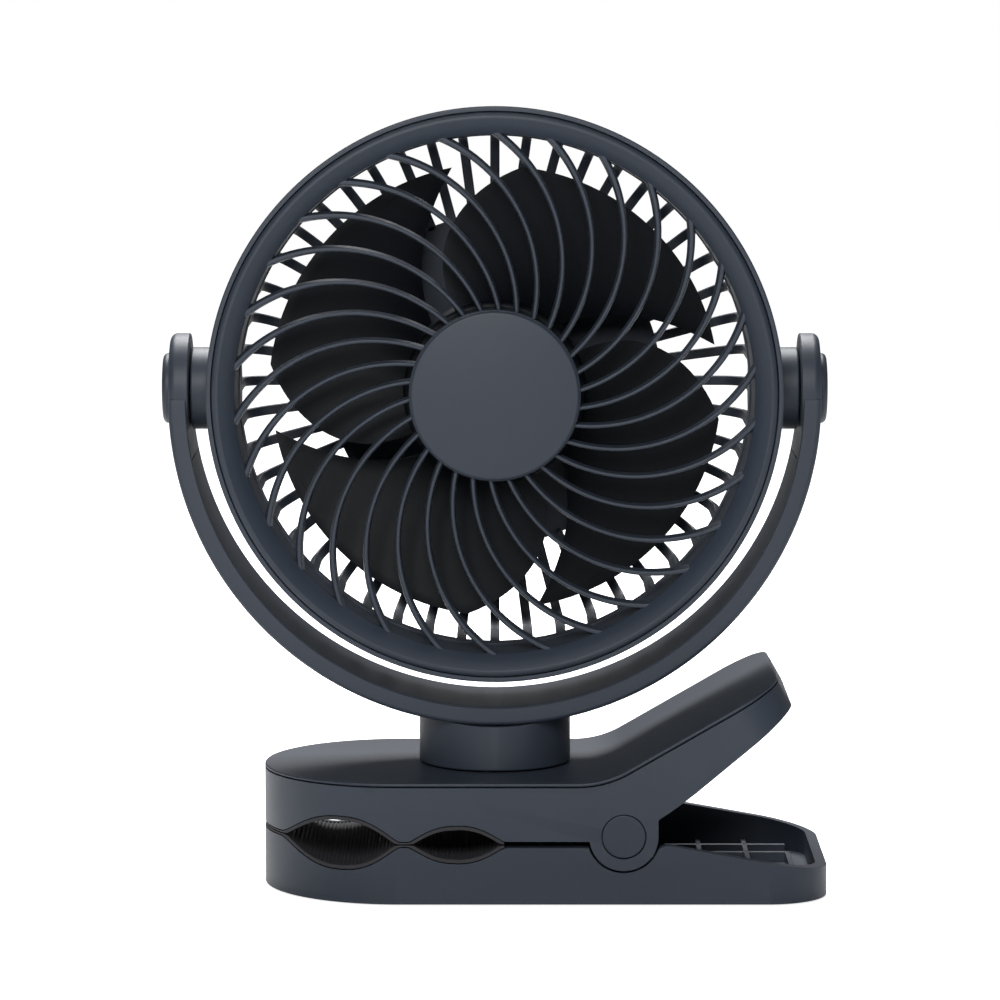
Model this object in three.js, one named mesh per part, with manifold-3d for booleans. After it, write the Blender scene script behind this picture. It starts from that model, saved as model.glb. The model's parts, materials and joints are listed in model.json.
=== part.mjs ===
// A rechargeable clip fan: a spring clip that doubles as a stand, a turning neck with a half-round
// yoke, and a tilting head with a swirl grille, a four-blade impeller and a slotted rear basket.
// Millimetres, +Z up, front towards -Y. Origin: on the resting surface, under the middle of the neck.
import * as THREE from "three";
import { mergeVertices } from "three/addons/utils/BufferGeometryUtils.js";
import Module from "manifold-3d";

const wasm = await Module();
wasm.setup();

// ---- Driving sizes -------------------------------------------------------------------------------

// Fits
const SEAT_GAP = 0.3; // between two pieces that rest against each other
const RUN_GAP = 0.4; // between two pieces that move against each other
const CUT = 1; // how far a cutting solid runs past the face that it cuts
const FACET_ERROR = 0.14; // how far a round surface's flats may leave the true circle

// Clip: outline
const CLIP_DEPTH = 72; // front face to rear face
const NOSE_X = -60.8; // tip of the round nose
const TAIL_X = 86.6; // flat end of the lower jaw
const TAIL_CORNER = 16; // plan radius of the lower jaw's end corners
const CLIP_TOP = 32; // flat top of the upper jaw
const SEAM_Z = 16; // middle of the seam between the jaws
const FOOT_LIFT = 0.4; // rubber feet stand this far below the shell
const SHELL_WALL = 2.2;
const EDGE_ROUND = 0.8; // chamfer on the outer bottom edge of the lower jaw
const SKIN = 0.01; // keeps two faces of one moulding out of the same plane

// Clip: mouth, two lens-shaped openings between the jaws
const MOUTH_1_X = -40;
const MOUTH_1_HALF_SPAN = 15.6;
const MOUTH_1_HALF_HEIGHT = 7.1;
const MOUTH_2_X = -9.8;
const MOUTH_2_HALF_SPAN = 12.6;
const MOUTH_2_HALF_HEIGHT = 5.1;
const PINCH_HALF_GAP = 0.8; // half the gap between the shells where the mouth closes
const SLOT_HALF_GAP = 0.85; // the same from the mouth to the hinge
const WAVE_STEP = 2.4; // spacing of the points along the wavy edge
const PAD_EDGE = 0.9; // thickness of the rubber pads in the middle of a mouth
const PAD_RIB_DEPTH = 0.35;
const PAD_RIB_PITCH = 1.5;
const PAD_MIN_HALF_GAP = 0.15;
const PAD_END_X = 2.4;

// Clip: hinge
const HINGE_X = 33.3;
const HINGE_Z = 18.1;
const LUG_RADIUS = 8.9;
const LUG_GAP = 0.6; // visible gap round the lug
const LUG_WIDTH = 5; // lug thickness along the pin
const LUG_CORNER_Z = 22.5; // top of the lug's upright edge, where the lever starts
const NOTCH_LEAVE = -35; // degrees, where the notch round the lug turns into the tray rim
const HINGE_CAP_RADIUS = 5.6;
const HINGE_CAP_THICKNESS = 1.6;
const PIN_RADIUS = 2;
const EAR_RADIUS = 6.6; // hinge ears of the lower jaw, inside the upper one
const EAR_WIDTH = 5.5;
const SPRING_WIRE = 1.5;
const SPRING_COIL_RADIUS = 4.4;
const SPRING_TURNS = 5;
const SPRING_LEG = 13; // from the pin to the end of the leg on the tray floor
const SPRING_REACH = 10; // from the lug to the end of the leg under the lever

// Clip: lever of the upper jaw
const LEVER_ANGLE = 30; // degrees, slope of the top
const LEVER_BEND_X = 28.3; // where the flat top and the slope would meet
const LEVER_BEND_RADIUS = 26;
const LEVER_BEND_STEPS = 6;
const LEVER_LENGTH = 51.5; // from the bend to the tip, along the slope
const LEVER_TIP_THICKNESS = 8.3;
const LEVER_TIP_CORNER = 14;
// The underside, right and up from the lug's corner to where it runs straight.
const LEVER_ROOT = [[0, 0], [2.4, 1.6], [5.6, 3.9], [9.8, 7.1]];
const UPRIGHT_END_X = 42; // the jaw's upright sides end here, well under the lever
const REGION_ABOVE = 20; // how far the jaw's plan region runs above its top
const REGION_BELOW = 45; // and below the lever's top

// Clip: tray behind the hinge
const TRAY_FLOOR = 2.4;
const TRAY_WALL = 3;
const TRAY_RIM_X = 46.3;
const TRAY_RIM_Z = 15.5; // rim height there
const TRAY_RIM_SLOPE = 10.1; // degrees, falling to the end
const TRAY_SHOULDER = [4.5, 3.1]; // right and up from the notch to the rim's first corner
const TRAY_RIB = 1.4;
const TRAY_RIB_TOP = 5; // height of the ribs, well below the rim
const TRAY_CROSS_RIBS = [54.5, 66.5, 77];
const TRAY_LONG_RIB_Y = [-24.5, -13.5, 13.5, 24.5];

// Clip: covers and what is inside
const COVER_THICKNESS = 2.4;
const COVER_EDGE = 0.9; // thickness of the lid's edge, above the seam on the clip's side
const COVER_RIM = 1.2; // shell edge under the lid, round its plug
const BASE_COVER_THICKNESS = 2.6;
const BASE_COVER_NOSE_X = -50;
const BASE_COVER_END_X = 16;
const BASE_COVER_HALF_WIDTH = 26;
const BASE_COVER_CORNER = 8;
const FOOT_RADIUS = 6;
const FOOT_THICKNESS = 1.6;
const FOOT_BEVEL = 0.4;
const SCREW_HEAD_RADIUS = 2.1;
const SCREW_HEAD_HEIGHT = 1.6;
const BASE_SCREW_PLACES = [[-27, -18], [-27, 18], [7, -18], [7, 18]];
const BASE_SCREW_LENGTH = 5;
const FOOT_PLACES = [[-40, -14], [-40, 14], [68, -22], [68, 22]];
const SCREW_SHANK_RADIUS = 1.2;
const BATTERY_LENGTH = 28;
const BATTERY_WIDTH = 54;
const BATTERY_THICKNESS = 4.8;
const BATTERY_START = 13; // from the lever's bend, along the slope
const BOARD_THICKNESS = 1.6;
const BOARD_LOW_X = 3.5;
const BOARD_HIGH_X = 22.5;
const PORT_WIDTH = 9;
const PORT_HEIGHT = 3.2;
const PORT_LENGTH = 7.4;
const PORT_X = 8.4;
const BUTTON_RADIUS = 2.7;
const BUTTON_X = 18;
const BUTTON_Z = 25.2;
const BUTTON_TRAVEL = 0.8;
const LIGHT_RADIUS = 0.8;
const LIGHT_X = 12.4;

// Head: outline, which the yoke and the rest of the head follow
const HEAD_RADIUS = 74.5; // rim, at its front edge
const HEAD_FRONT = 25; // front crest of the bezel ahead of the tilt axis
const HEAD_REAR = 24; // rear face behind it

// Neck
const NECK_RADIUS = 19.9;
const NECK_WALL = 2.4;
const SPINDLE_RADIUS = 8.6;
const SPINDLE_BORE = 5.6;
const SPINDLE_FLANGE_RADIUS = 13;
const SPINDLE_FLANGE_THICKNESS = 2.2;
const COLLAR_HEIGHT = 3.4; // bearing collar on the top cover, inside the neck
const COLLAR_WALL = 2;
const WASHER_THICKNESS = 0.8;
const NUT_RADIUS = 12;
const NUT_THICKNESS = 2;

// Yoke
const YOKE_INNER = HEAD_RADIUS + 5.7; // leaves room for the pivot bosses
const YOKE_OUTER = YOKE_INNER + 4.7;
const YOKE_DROP = 1.9; // how far the middle of its half circle lies below the tilt axis
const YOKE_LOW = 44.2; // its lowest point above the resting surface
const PIVOT_Z = YOKE_LOW + YOKE_OUTER + YOKE_DROP; // tilt axis above the resting surface
const YOKE_WIDTH = 37; // front to rear, at the neck
const YOKE_CHAMFER = 1.3;
const YOKE_RIM = 1.7; // edges that show round the inner cover
const YOKE_STEPS = 36; // flats along its half circle
const YOKE_BACK = 1.6; // wall behind the cable channel
const LINER_THICKNESS = 1.1;
const LINER_END_ANGLE = 11; // degrees below the tilt axis
const EAR_ROUND = 14.4; // radius of the round ears
const EAR_EDGE = 1.9; // rounding of their outer edge
const EAR_PAD = 0.5; // how far their flat inner faces stand in from the band
const PIVOT_CAP_RADIUS = 9.2;
const PIVOT_CAP_HEIGHT = 1.9;
const PIVOT_CAP_EDGE = 1.4; // width of its rounding
const PIVOT_CAP_SEAT = 0.05; // gap between the cap and the ear's outer face
const PIVOT_PLUG = 1.4; // how far the cap's plug reaches into the ear
const PIVOT_HOLE = 4.2;
const PIVOT_WASHER_RADIUS = 8;
const CABLE_RADIUS = 0.4;

// Head: bezel and grille
const HEAD_REAR_RADIUS = HEAD_RADIUS - 0.6; // rim, at its step
const RIM_WALL = 1.3; // rear shell's rim, outside the bezel
const BEZEL_CREST = HEAD_RADIUS - 3;
const BEZEL_THROAT = HEAD_RADIUS - 7.3;
const BEZEL_WALL = 1.8;
const BEZEL_ROLL = 1.2; // how far its outer edge lies behind the crest
const BEZEL_LAND = 0.8; // width of the crest
const BEZEL_TAPER = 0.6; // narrowing of the throat towards the rear
const BEZEL_SKIRT = 4; // how far its outer wall ends ahead of the throat's rear edge
const BEZEL_SLOPE_DEPTH = 3.6; // crest to throat
const RIB_COUNT = 30;
const RIB_THICKNESS = 1.5;
const RIB_DEPTH = 3.2;
const RIB_STEPS = 5; // straight lengths along a rib
const RIB_ARC_RADIUS = 41.1;
const RIB_CENTRE_DISTANCE = 41.5; // middle of that arc from the fan's axis
const RIB_CENTRE_ANGLE = 73.2;
const RIB_START_ANGLE = 3.5; // degrees, inner end of the first rib
const GRILLE_HUB_RADIUS = 22.2;
const GRILLE_HUB_WALL = 2.4;
const DISC_RADIUS = 21.9;
const DISC_THICKNESS = 2;
const DISC_BEVEL = 0.9;

// Head: rear shell
const RIM_DEPTH = 16.5; // from the bezel's crest to the rim's step
const BASKET_RADIUS = HEAD_RADIUS - 6.1;
const BASKET_WALL = 2;
const BASKET_ROUND = 8; // radius of the turn from side to rear face
const SLOT_COUNT = 48;
const BAR_WIDTH = 2.5;
const SLOT_START = 5; // behind the rim's step
const REAR_PLATE_RADIUS = BASKET_RADIUS - 24.1; // plain middle of the rear face, where the slots end
const MOTOR_CUP_RADIUS = 20;
const BOSS_RADIUS = 10.75;
const REAR_SCREW_ANGLES = [45, 135, 225, 315];
const REAR_SCREW_CIRCLE = HEAD_RADIUS - 3.7;
const REAR_SCREW_LENGTH = 9;
const SCREW_POST_RADIUS = 3.2;

// Impeller and motor
const BLADE_COUNT = 4;
const BLADE_TIP_RADIUS = HEAD_RADIUS - 15.7;
const BLADE_THICKNESS = 1.4;
const BLADE_TIP_ANGLE = 11; // degrees, the first blade's pointed tip
const BLADE_ROOT_LAG = 34; // degrees from the tip point back to the root of that edge
const BLADE_SPAN_ROOT = 71; // degrees that a blade covers at the hub
const BLADE_SPAN_TIP = 72;
const BLADE_PITCH_DEPTH = 14; // front to rear across a blade
const HUB_RADIUS = 23.8;
const HUB_FRONT = -14;
const HUB_REAR = 4.5;
const HUB_WALL = 1.8;
const SHAFT_RADIUS = 1.5;
const ROTOR_RADIUS = 15.5;
const ROTOR_WALL = 1;
const MAGNET_THICKNESS = 1.5;
const STATOR_RADIUS = 11.6;
const STATOR_ARMS = 9;
const BEARING_TUBE_RADIUS = 4.6;
const BEARING_RADIUS = 3.6;
const BEARING_LENGTH = 3;
const MOTOR_BASE_THICKNESS = 2;
const PIN_CLEARANCE = 0.1; // round a pin or shaft in its bore

// ---- Solids --------------------------------------------------------------------------------------

const AXIS_X = new THREE.Vector3(1, 0, 0);
const AXIS_Y = new THREE.Vector3(0, 1, 0);
const AXIS_Z = new THREE.Vector3(0, 0, 1);
const rad = THREE.MathUtils.degToRad;

/** A closed three.js geometry as a manifold solid, facing out whichever way its profile ran. */
function solid(geometry) {
  const bare = geometry.index ? geometry.toNonIndexed() : geometry.clone();
  bare.deleteAttribute("normal");
  bare.deleteAttribute("uv");
  const merged = mergeVertices(bare, 1e-4);
  const build = (triVerts) =>
    new wasm.Manifold(
      new wasm.Mesh({ numProp: 3, vertProperties: merged.attributes.position.array, triVerts }),
    );
  const triVerts = new Uint32Array(merged.index.array);
  const made = build(triVerts);
  return made.volume() > 0 ? made : build(triVerts.reverse());
}

/** Joins any number of solids. */
function join(first, ...others) {
  return others.reduce((sum, next) => sum.add(next), first);
}

/** Takes any number of solids away from the first. */
function cut(first, ...others) {
  return others.reduce((rest, next) => rest.subtract(next), first);
}

/** Whole numbers from 0 to count - 1. */
const times = (count) => Array.from({ length: count }, (_, i) => i);

/** How many flats make a full circle of a radius, in fours so that its extremes stay true. */
const roundSides = (radius) => 4 * Math.ceil(Math.PI / (4 * Math.acos(1 - FACET_ERROR / radius)));

/** Points along an arc, as [u, v] pairs; angles in degrees, either way round. */
function arc(u, v, radius, from, to, steps = Math.ceil((roundSides(radius) * Math.abs(to - from)) / 360)) {
  return times(steps + 1).map((i) => {
    const angle = rad(from + ((to - from) * i) / steps);
    return [u + radius * Math.cos(angle), v + radius * Math.sin(angle)];
  });
}

/** A closed outline through [u, v] pairs. */
function outline(points) {
  return new THREE.Shape(points.map(([u, v]) => new THREE.Vector2(u, v)));
}

/** An outline in plan (x, y), extruded from z = low to z = high. */
function planPrism(points, low, high) {
  const geometry = new THREE.ExtrudeGeometry(outline(points), { depth: high - low, bevelEnabled: false });
  return solid(geometry.translate(0, 0, low));
}

/** An outline seen from the front (x, z), extruded from y = front to y = rear. */
function frontPrism(points, front, rear) {
  const geometry = new THREE.ExtrudeGeometry(outline(points), { depth: rear - front, bevelEnabled: false });
  return solid(geometry.rotateX(Math.PI / 2).translate(0, rear, 0));
}

/** A profile of [radius, height] pairs turned about an axis through the local origin. */
function revolve(profile, axis, segments = roundSides(Math.max(...profile.map(([radius]) => radius)))) {
  const points = profile.map(([radius, height]) => new THREE.Vector2(radius, height));
  const onAxis = profile[0][0] === 0 && profile.at(-1)[0] === 0;
  if (!onAxis) points.push(points[0].clone());
  const geometry = new THREE.LatheGeometry(points, segments);
  geometry.applyQuaternion(new THREE.Quaternion().setFromUnitVectors(AXIS_Y, axis));
  return solid(geometry);
}

/** A plain cylinder from one height to another along an axis through the local origin. */
function rod(radius, low, high, axis, segments = roundSides(radius)) {
  return revolve([[0, low], [radius, low], [radius, high], [0, high]], axis, segments);
}

/** A ring with a square section. */
function ring(inner, outer, low, high, axis, segments = roundSides(outer)) {
  return revolve([[inner, low], [outer, low], [outer, high], [inner, high]], axis, segments);
}

/** A box given by its low and high corners. */
function block(low, high) {
  const size = high.map((value, i) => value - low[i]);
  const geometry = new THREE.BoxGeometry(...size);
  return solid(geometry.translate(...low.map((value, i) => value + size[i] / 2)));
}

/** A six-sided bar along a three.js curve, for wire. */
function wireAlong(curve, radius, steps) {
  const section = outline(arc(0, 0, radius, 0, 300, 5));
  return solid(new THREE.ExtrudeGeometry(section, { steps, bevelEnabled: false, extrudePath: curve }));
}

// ---- Finishes ------------------------------------------------------------------------------------

const finish = (color, roughness, metalness = 0) =>
  new THREE.MeshStandardMaterial({ color, roughness, metalness });
const FINISH = {
  shell: finish(0x34383e, 0.5),
  dark: finish(0x1b1e22, 0.5),
  rubber: finish(0x232426, 0.85),
  steel: finish(0xb9bcc0, 0.3, 1),
  copper: finish(0xb06a3a, 0.4, 1),
  board: finish(0x1d4a2c, 0.6),
  foil: finish(0xa8acb0, 0.4, 0.6),
  lens: finish(0xd8dce0, 0.25),
};

/** Turns a solid into a named mesh. */
function piece(name, made, material) {
  const { vertProperties, triVerts, numProp } = made.getMesh();
  const position = new Float32Array((vertProperties.length / numProp) * 3);
  for (let i = 0; i < position.length / 3; i++) {
    position.set(vertProperties.subarray(i * numProp, i * numProp + 3), i * 3);
  }
  const geometry = new THREE.BufferGeometry();
  geometry.setAttribute("position", new THREE.BufferAttribute(position, 3));
  geometry.setIndex(new THREE.BufferAttribute(triVerts, 1));
  geometry.computeVertexNormals();
  const mesh = new THREE.Mesh(geometry, material);
  mesh.name = name;
  return mesh;
}

// ---- Clip: shared outlines -----------------------------------------------------------------------

const halfDepth = CLIP_DEPTH / 2;
const noseCentreX = NOSE_X + halfDepth;

/** The two rounded corners of an end at x = end, from the front one to the rear one. */
const endCorners = (end, half, corner) => [
  ...arc(end - corner, corner - half, corner, -90, 0),
  ...arc(end - corner, half - corner, corner, 0, 90),
];

/** The clip in plan: a round nose, straight sides and an end with rounded corners. */
function clipPlan(inset, endX, endCorner) {
  const half = halfDepth - inset;
  const end = endX - inset;
  const corner = endCorner - inset;
  const tail = endCorner > 0
    ? endCorners(end, half, corner)
    : [[end, -half], [end, half]];
  return [...tail, ...arc(noseCentreX, 0, half, 90, 270)];
}

/** Half the height of the gap between the two shells at x. */
function mouthHalfHeight(x) {
  const bulge = (centre, halfSpan, height) => {
    const u = Math.abs(x - centre) / halfSpan;
    return u < 1 ? height * (1 - u ** 2.4) ** 1.35 : 0;
  };
  const rest = x > MOUTH_2_X ? SLOT_HALF_GAP : PINCH_HALF_GAP;
  return (
    rest +
    bulge(MOUTH_1_X, MOUTH_1_HALF_SPAN, MOUTH_1_HALF_HEIGHT - PINCH_HALF_GAP) +
    bulge(MOUTH_2_X, MOUTH_2_HALF_SPAN, MOUTH_2_HALF_HEIGHT - SLOT_HALF_GAP)
  );
}

/** Points of the shells' wavy edge from the nose to the hinge, on one side (+1 up, -1 down). */
function waveEdge(side, clearance, endX, startX = NOSE_X - CUT) {
  const steps = Math.ceil((endX - startX) / WAVE_STEP);
  return times(steps + 1).map((i) => {
    const x = startX + ((endX - startX) * i) / steps;
    return [x, SEAM_Z + side * (mouthHalfHeight(x) + clearance)];
  });
}

const leverCos = Math.cos(rad(LEVER_ANGLE));
const leverSin = Math.sin(rad(LEVER_ANGLE));

/** A point of the lever given along its sloping top and below it. */
const onLever = (along, below) => [
  LEVER_BEND_X + along * leverCos + below * leverSin,
  CLIP_TOP + along * leverSin - below * leverCos,
];

/** The upper jaw's top line at a depth below it, from the lever's end back to the nose. */
function topLine(below, overrun) {
  const bendStart = LEVER_BEND_X - LEVER_BEND_RADIUS * Math.tan(rad(LEVER_ANGLE / 2));
  const bendZ = CLIP_TOP + LEVER_BEND_RADIUS;
  return [
    onLever(LEVER_LENGTH + overrun, below),
    ...arc(bendStart, bendZ, LEVER_BEND_RADIUS + below, LEVER_ANGLE - 90, -90, LEVER_BEND_STEPS),
    [NOSE_X - CUT, CLIP_TOP - below],
  ];
}

/** The upper jaw's plan region: the nose and sides upright, the lever's end square to the lever. */
function upperPlan(inset) {
  const nose = planPrism(clipPlan(inset, UPRIGHT_END_X + inset, 0), 0, CLIP_TOP + REGION_ABOVE);
  const half = halfDepth - inset;
  const plan = [
    [0, -half], ...endCorners(LEVER_LENGTH - inset, half, LEVER_TIP_CORNER - inset), [0, half],
  ];
  const lever = planPrism(plan, -REGION_BELOW, REGION_ABOVE).rotate([0, -LEVER_ANGLE, 0]);
  return join(nose, lever.translate([LEVER_BEND_X, 0, CLIP_TOP]));
}

// ---- Lower jaw -----------------------------------------------------------------------------------

const notchRadius = LUG_RADIUS + LUG_GAP;
const slotFloor = SEAM_Z - SLOT_HALF_GAP;
const trayRimAt = (x) => TRAY_RIM_Z - (x - TRAY_RIM_X) * Math.tan(rad(TRAY_RIM_SLOPE));
const earOuterY = halfDepth - LUG_WIDTH - 2 * RUN_GAP;
const hingeBayX = HINGE_X - notchRadius + 0.2;
const baseCoverTop = FOOT_LIFT + BASE_COVER_THICKNESS;

/** The angle at which a circle round the hinge meets the seam's edge, left of the hinge. */
function seamAngle(radius, edgeZ) {
  const drop = HINGE_Z - edgeZ;
  return THREE.MathUtils.radToDeg(Math.atan2(-drop, -Math.sqrt(radius ** 2 - drop ** 2)));
}

/** The lower jaw from the front: flat base, wavy mouth, notch round the lug, falling tray rim. */
function lowerOutline() {
  const endX = TAIL_X + CUT;
  const notchEnd = seamAngle(notchRadius, slotFloor);
  const [notch, ...restOfNotch] = arc(HINGE_X, HINGE_Z, notchRadius, NOTCH_LEAVE, notchEnd);
  const shoulder = [notch[0] + TRAY_SHOULDER[0], notch[1] + TRAY_SHOULDER[1]];
  return [
    [NOSE_X - CUT, 0], [endX, 0], [endX, trayRimAt(endX)], [TRAY_RIM_X + 1, trayRimAt(TRAY_RIM_X + 1)],
    [shoulder[0] + 0.9, trayRimAt(TRAY_RIM_X) - 0.1], shoulder, notch, ...restOfNotch,
    ...waveEdge(-1, 0, hingeBayX - 0.5).reverse(),
  ];
}

/** A screw with a domed head, pointing up, its head's underside at the local origin. */
function screw(length, axis) {
  const flat = 0.6; // share of the head's radius and height that its bevel leaves
  return revolve(
    [
      [0, -SCREW_HEAD_HEIGHT], [SCREW_HEAD_RADIUS * flat, -SCREW_HEAD_HEIGHT],
      [SCREW_HEAD_RADIUS, -SCREW_HEAD_HEIGHT * flat],
      [SCREW_HEAD_RADIUS, 0], [SCREW_SHANK_RADIUS, 0], [SCREW_SHANK_RADIUS, length], [0, length],
    ],
    axis,
  );
}

const baseScrewHeadTop = FOOT_LIFT + 0.2 + SCREW_HEAD_HEIGHT;

/** The plan of the plate that closes the nose from below. */
function baseCoverPlan(inset) {
  const [low, high] = [BASE_COVER_NOSE_X + inset, BASE_COVER_END_X - inset];
  const half = BASE_COVER_HALF_WIDTH - inset;
  const corner = BASE_COVER_CORNER - inset;
  return [
    ...endCorners(high, half, corner),
    ...arc(low + corner, half - corner, corner, 90, 180),
    ...arc(low + corner, corner - half, corner, 180, 270),
  ];
}

function makeLowerShell() {
  const plan = outline(clipPlan(EDGE_ROUND, TAIL_X, TAIL_CORNER));
  const rounded = new THREE.ExtrudeGeometry(plan, {
    depth: CLIP_TOP, bevelSize: EDGE_ROUND, bevelThickness: EDGE_ROUND, bevelSegments: 2,
  });
  const stock = solid(rounded.translate(0, 0, FOOT_LIFT + EDGE_ROUND));
  const body = stock.intersect(frontPrism(lowerOutline(), -CLIP_DEPTH, CLIP_DEPTH));

  // The tray and hinge bay, open at the top, with upright ribs on its floor.
  const bayPlan = clipPlan(TRAY_WALL, TAIL_X, TAIL_CORNER);
  const bay = planPrism(bayPlan, TRAY_FLOOR, CLIP_TOP).intersect(
    block([hingeBayX, -halfDepth, 0], [TAIL_X, halfDepth, CLIP_TOP]),
  );
  const ribRoom = block([hingeBayX, -halfDepth, 0], [TAIL_X, halfDepth, TRAY_RIB_TOP]);
  const ribStart = HINGE_X + notchRadius + 3;
  const longRibs = TRAY_LONG_RIB_Y.map((y) =>
    block([ribStart, y - TRAY_RIB / 2, FOOT_LIFT + 1], [TAIL_X - 1, y + TRAY_RIB / 2, CLIP_TOP]));
  const crossRibs = TRAY_CROSS_RIBS.map((x) =>
    block([x - TRAY_RIB / 2, 1 - halfDepth, FOOT_LIFT + 1], [x + TRAY_RIB / 2, halfDepth - 1, CLIP_TOP]));
  const ribs = join(...longRibs, ...crossRibs).intersect(ribRoom).intersect(body);

  // The nose is hollow from below, closed by its own plate, with posts for the plate's screws.
  const hollowTop = waveEdge(-1, SHELL_WALL, BASE_COVER_END_X - SHELL_WALL, BASE_COVER_NOSE_X + SHELL_WALL);
  const hollow = frontPrism(
    [...hollowTop, [BASE_COVER_END_X - SHELL_WALL, 0], [BASE_COVER_NOSE_X + SHELL_WALL, 0]],
    SHELL_WALL - BASE_COVER_HALF_WIDTH, BASE_COVER_HALF_WIDTH - SHELL_WALL,
  );
  const post = rod(SCREW_POST_RADIUS, baseCoverTop + SEAT_GAP, SEAM_Z, AXIS_Z);
  const posts = BASE_SCREW_PLACES.map(([x, y]) => post.translate([x, y, 0]));
  const holeTop = baseScrewHeadTop + BASE_SCREW_LENGTH + CUT;
  const hole = rod(SCREW_SHANK_RADIUS + SEAT_GAP, 0, holeTop, AXIS_Z);
  const holes = BASE_SCREW_PLACES.map(([x, y]) => hole.translate([x, y, 0]));
  const seat = planPrism(baseCoverPlan(-SEAT_GAP), FOOT_LIFT - CUT, baseCoverTop + SEAT_GAP);
  const feet = FOOT_PLACES.map(([x, y]) => footPocket().translate([x, y, 0]));

  // Two ears carry the hinge pin.
  const ears = [-1, 1].map((side) => {
    const shape = [
      [HINGE_X - EAR_RADIUS, FOOT_LIFT + 1], [HINGE_X + EAR_RADIUS, FOOT_LIFT + 1],
      ...arc(HINGE_X, HINGE_Z, EAR_RADIUS, 0, 180),
    ];
    const near = side * earOuterY;
    const far = side * (earOuterY - EAR_WIDTH);
    return frontPrism(shape, Math.min(near, far), Math.max(near, far));
  });
  const pinBore = rod(PIN_RADIUS + PIN_CLEARANCE, -halfDepth, halfDepth, AXIS_Y);
  const keptPosts = posts.map((post) => post.intersect(body));
  const shell = join(cut(body, bay, hollow), ribs, ...keptPosts, ...ears);
  return cut(shell, seat, pinBore.translate([HINGE_X, 0, HINGE_Z]), ...holes, ...feet);
}

/** The recess that a rubber foot sits in. */
function footPocket() {
  return rod(FOOT_RADIUS + SEAT_GAP, -CUT, FOOT_THICKNESS + SEAT_GAP, AXIS_Z);
}

/** The plate that closes the nose from below, with room for its screws and for two feet. */
function makeBaseCover() {
  const plate = planPrism(baseCoverPlan(0), FOOT_LIFT, baseCoverTop);
  const headRoom = rod(SCREW_HEAD_RADIUS + SEAT_GAP, -CUT, baseScrewHeadTop + 0.1, AXIS_Z);
  const shankRoom = rod(SCREW_SHANK_RADIUS + SEAT_GAP, 0, baseCoverTop + CUT, AXIS_Z);
  const screwRoom = join(headRoom, shankRoom);
  const screwCuts = BASE_SCREW_PLACES.map(([x, y]) => screwRoom.translate([x, y, 0]));
  return cut(plate, ...screwCuts, ...FOOT_PLACES.map(([x, y]) => footPocket().translate([x, y, 0])));
}

const makeFoot = () => revolve(
  [
    [0, 0], [FOOT_RADIUS - FOOT_BEVEL, 0], [FOOT_RADIUS, FOOT_BEVEL],
    [FOOT_RADIUS, FOOT_THICKNESS], [0, FOOT_THICKNESS],
  ],
  AXIS_Z,
);

const makeHingePin = () => {
  const reach = halfDepth - HINGE_CAP_THICKNESS - 2 * SEAT_GAP;
  return rod(PIN_RADIUS, -reach, reach, AXIS_Y).translate([HINGE_X, 0, HINGE_Z]);
};

/** A rubber pad: it lies on one jaw's wave, with fine ribs from front to rear. */
function makePad(side) {
  const startX = NOSE_X - CUT;
  const count = Math.round((PAD_END_X - startX) / PAD_RIB_PITCH) * 2;
  const face = times(count + 1).map((i) => {
    const x = startX + ((PAD_END_X - startX) * i) / count;
    const open = mouthHalfHeight(x);
    const edge = Math.min(PAD_EDGE, (open - SEAT_GAP) * 0.75) + SEAT_GAP;
    const rib = i % 2 ? PAD_RIB_DEPTH * Math.min(1, (open - PINCH_HALF_GAP) / 2) : 0;
    return [x, SEAM_Z + side * (Math.max(open - edge, PAD_MIN_HALF_GAP) + rib)];
  });
  const back = waveEdge(side, -SEAT_GAP, PAD_END_X).reverse();
  const plan = planPrism(clipPlan(0, TAIL_X, TAIL_CORNER), 0, CLIP_TOP);
  return frontPrism([...face, ...back], -CLIP_DEPTH, CLIP_DEPTH).intersect(plan);
}

/** The clip's torsion spring: a coil round the pin, one leg on the tray floor, one under the lever. */
function makeClipSpring() {
  const halfWidth = ((SPRING_TURNS + 0.5) * SPRING_WIRE * 1.25) / 2;
  const from = rad(-125);
  const to = rad(-49) + 2 * Math.PI * (SPRING_TURNS - 1) + 2 * Math.PI;
  const stepsPerTurn = 10;
  const count = Math.round(((to - from) / (2 * Math.PI)) * stepsPerTurn);
  const coil = times(count + 1).map((i) => {
    const angle = from + ((to - from) * i) / count;
    return new THREE.Vector3(
      HINGE_X + SPRING_COIL_RADIUS * Math.cos(angle),
      halfWidth * ((2 * i) / count - 1),
      HINGE_Z + SPRING_COIL_RADIUS * Math.sin(angle),
    );
  });
  const wire = SPRING_WIRE / 2;
  const floorLeg = new THREE.Vector3(HINGE_X + SPRING_LEG, -halfWidth, TRAY_FLOOR + SEAT_GAP + wire);
  const [underX, underZ] = leverUnderside(SPRING_REACH);
  const [offX, offZ] = [0.62 * (wire + SEAT_GAP), -0.8 * (wire + SEAT_GAP)]; // square to the underside
  const leverLeg = new THREE.Vector3(underX + offX, halfWidth, underZ + offZ);
  const halfway = (a, b) => a.clone().lerp(b, 0.5);
  const points = [floorLeg, halfway(floorLeg, coil[0]), ...coil, halfway(coil.at(-1), leverLeg), leverLeg];
  return wireAlong(new THREE.CatmullRomCurve3(points, false, "centripetal"), wire, points.length - 1);
}

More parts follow.
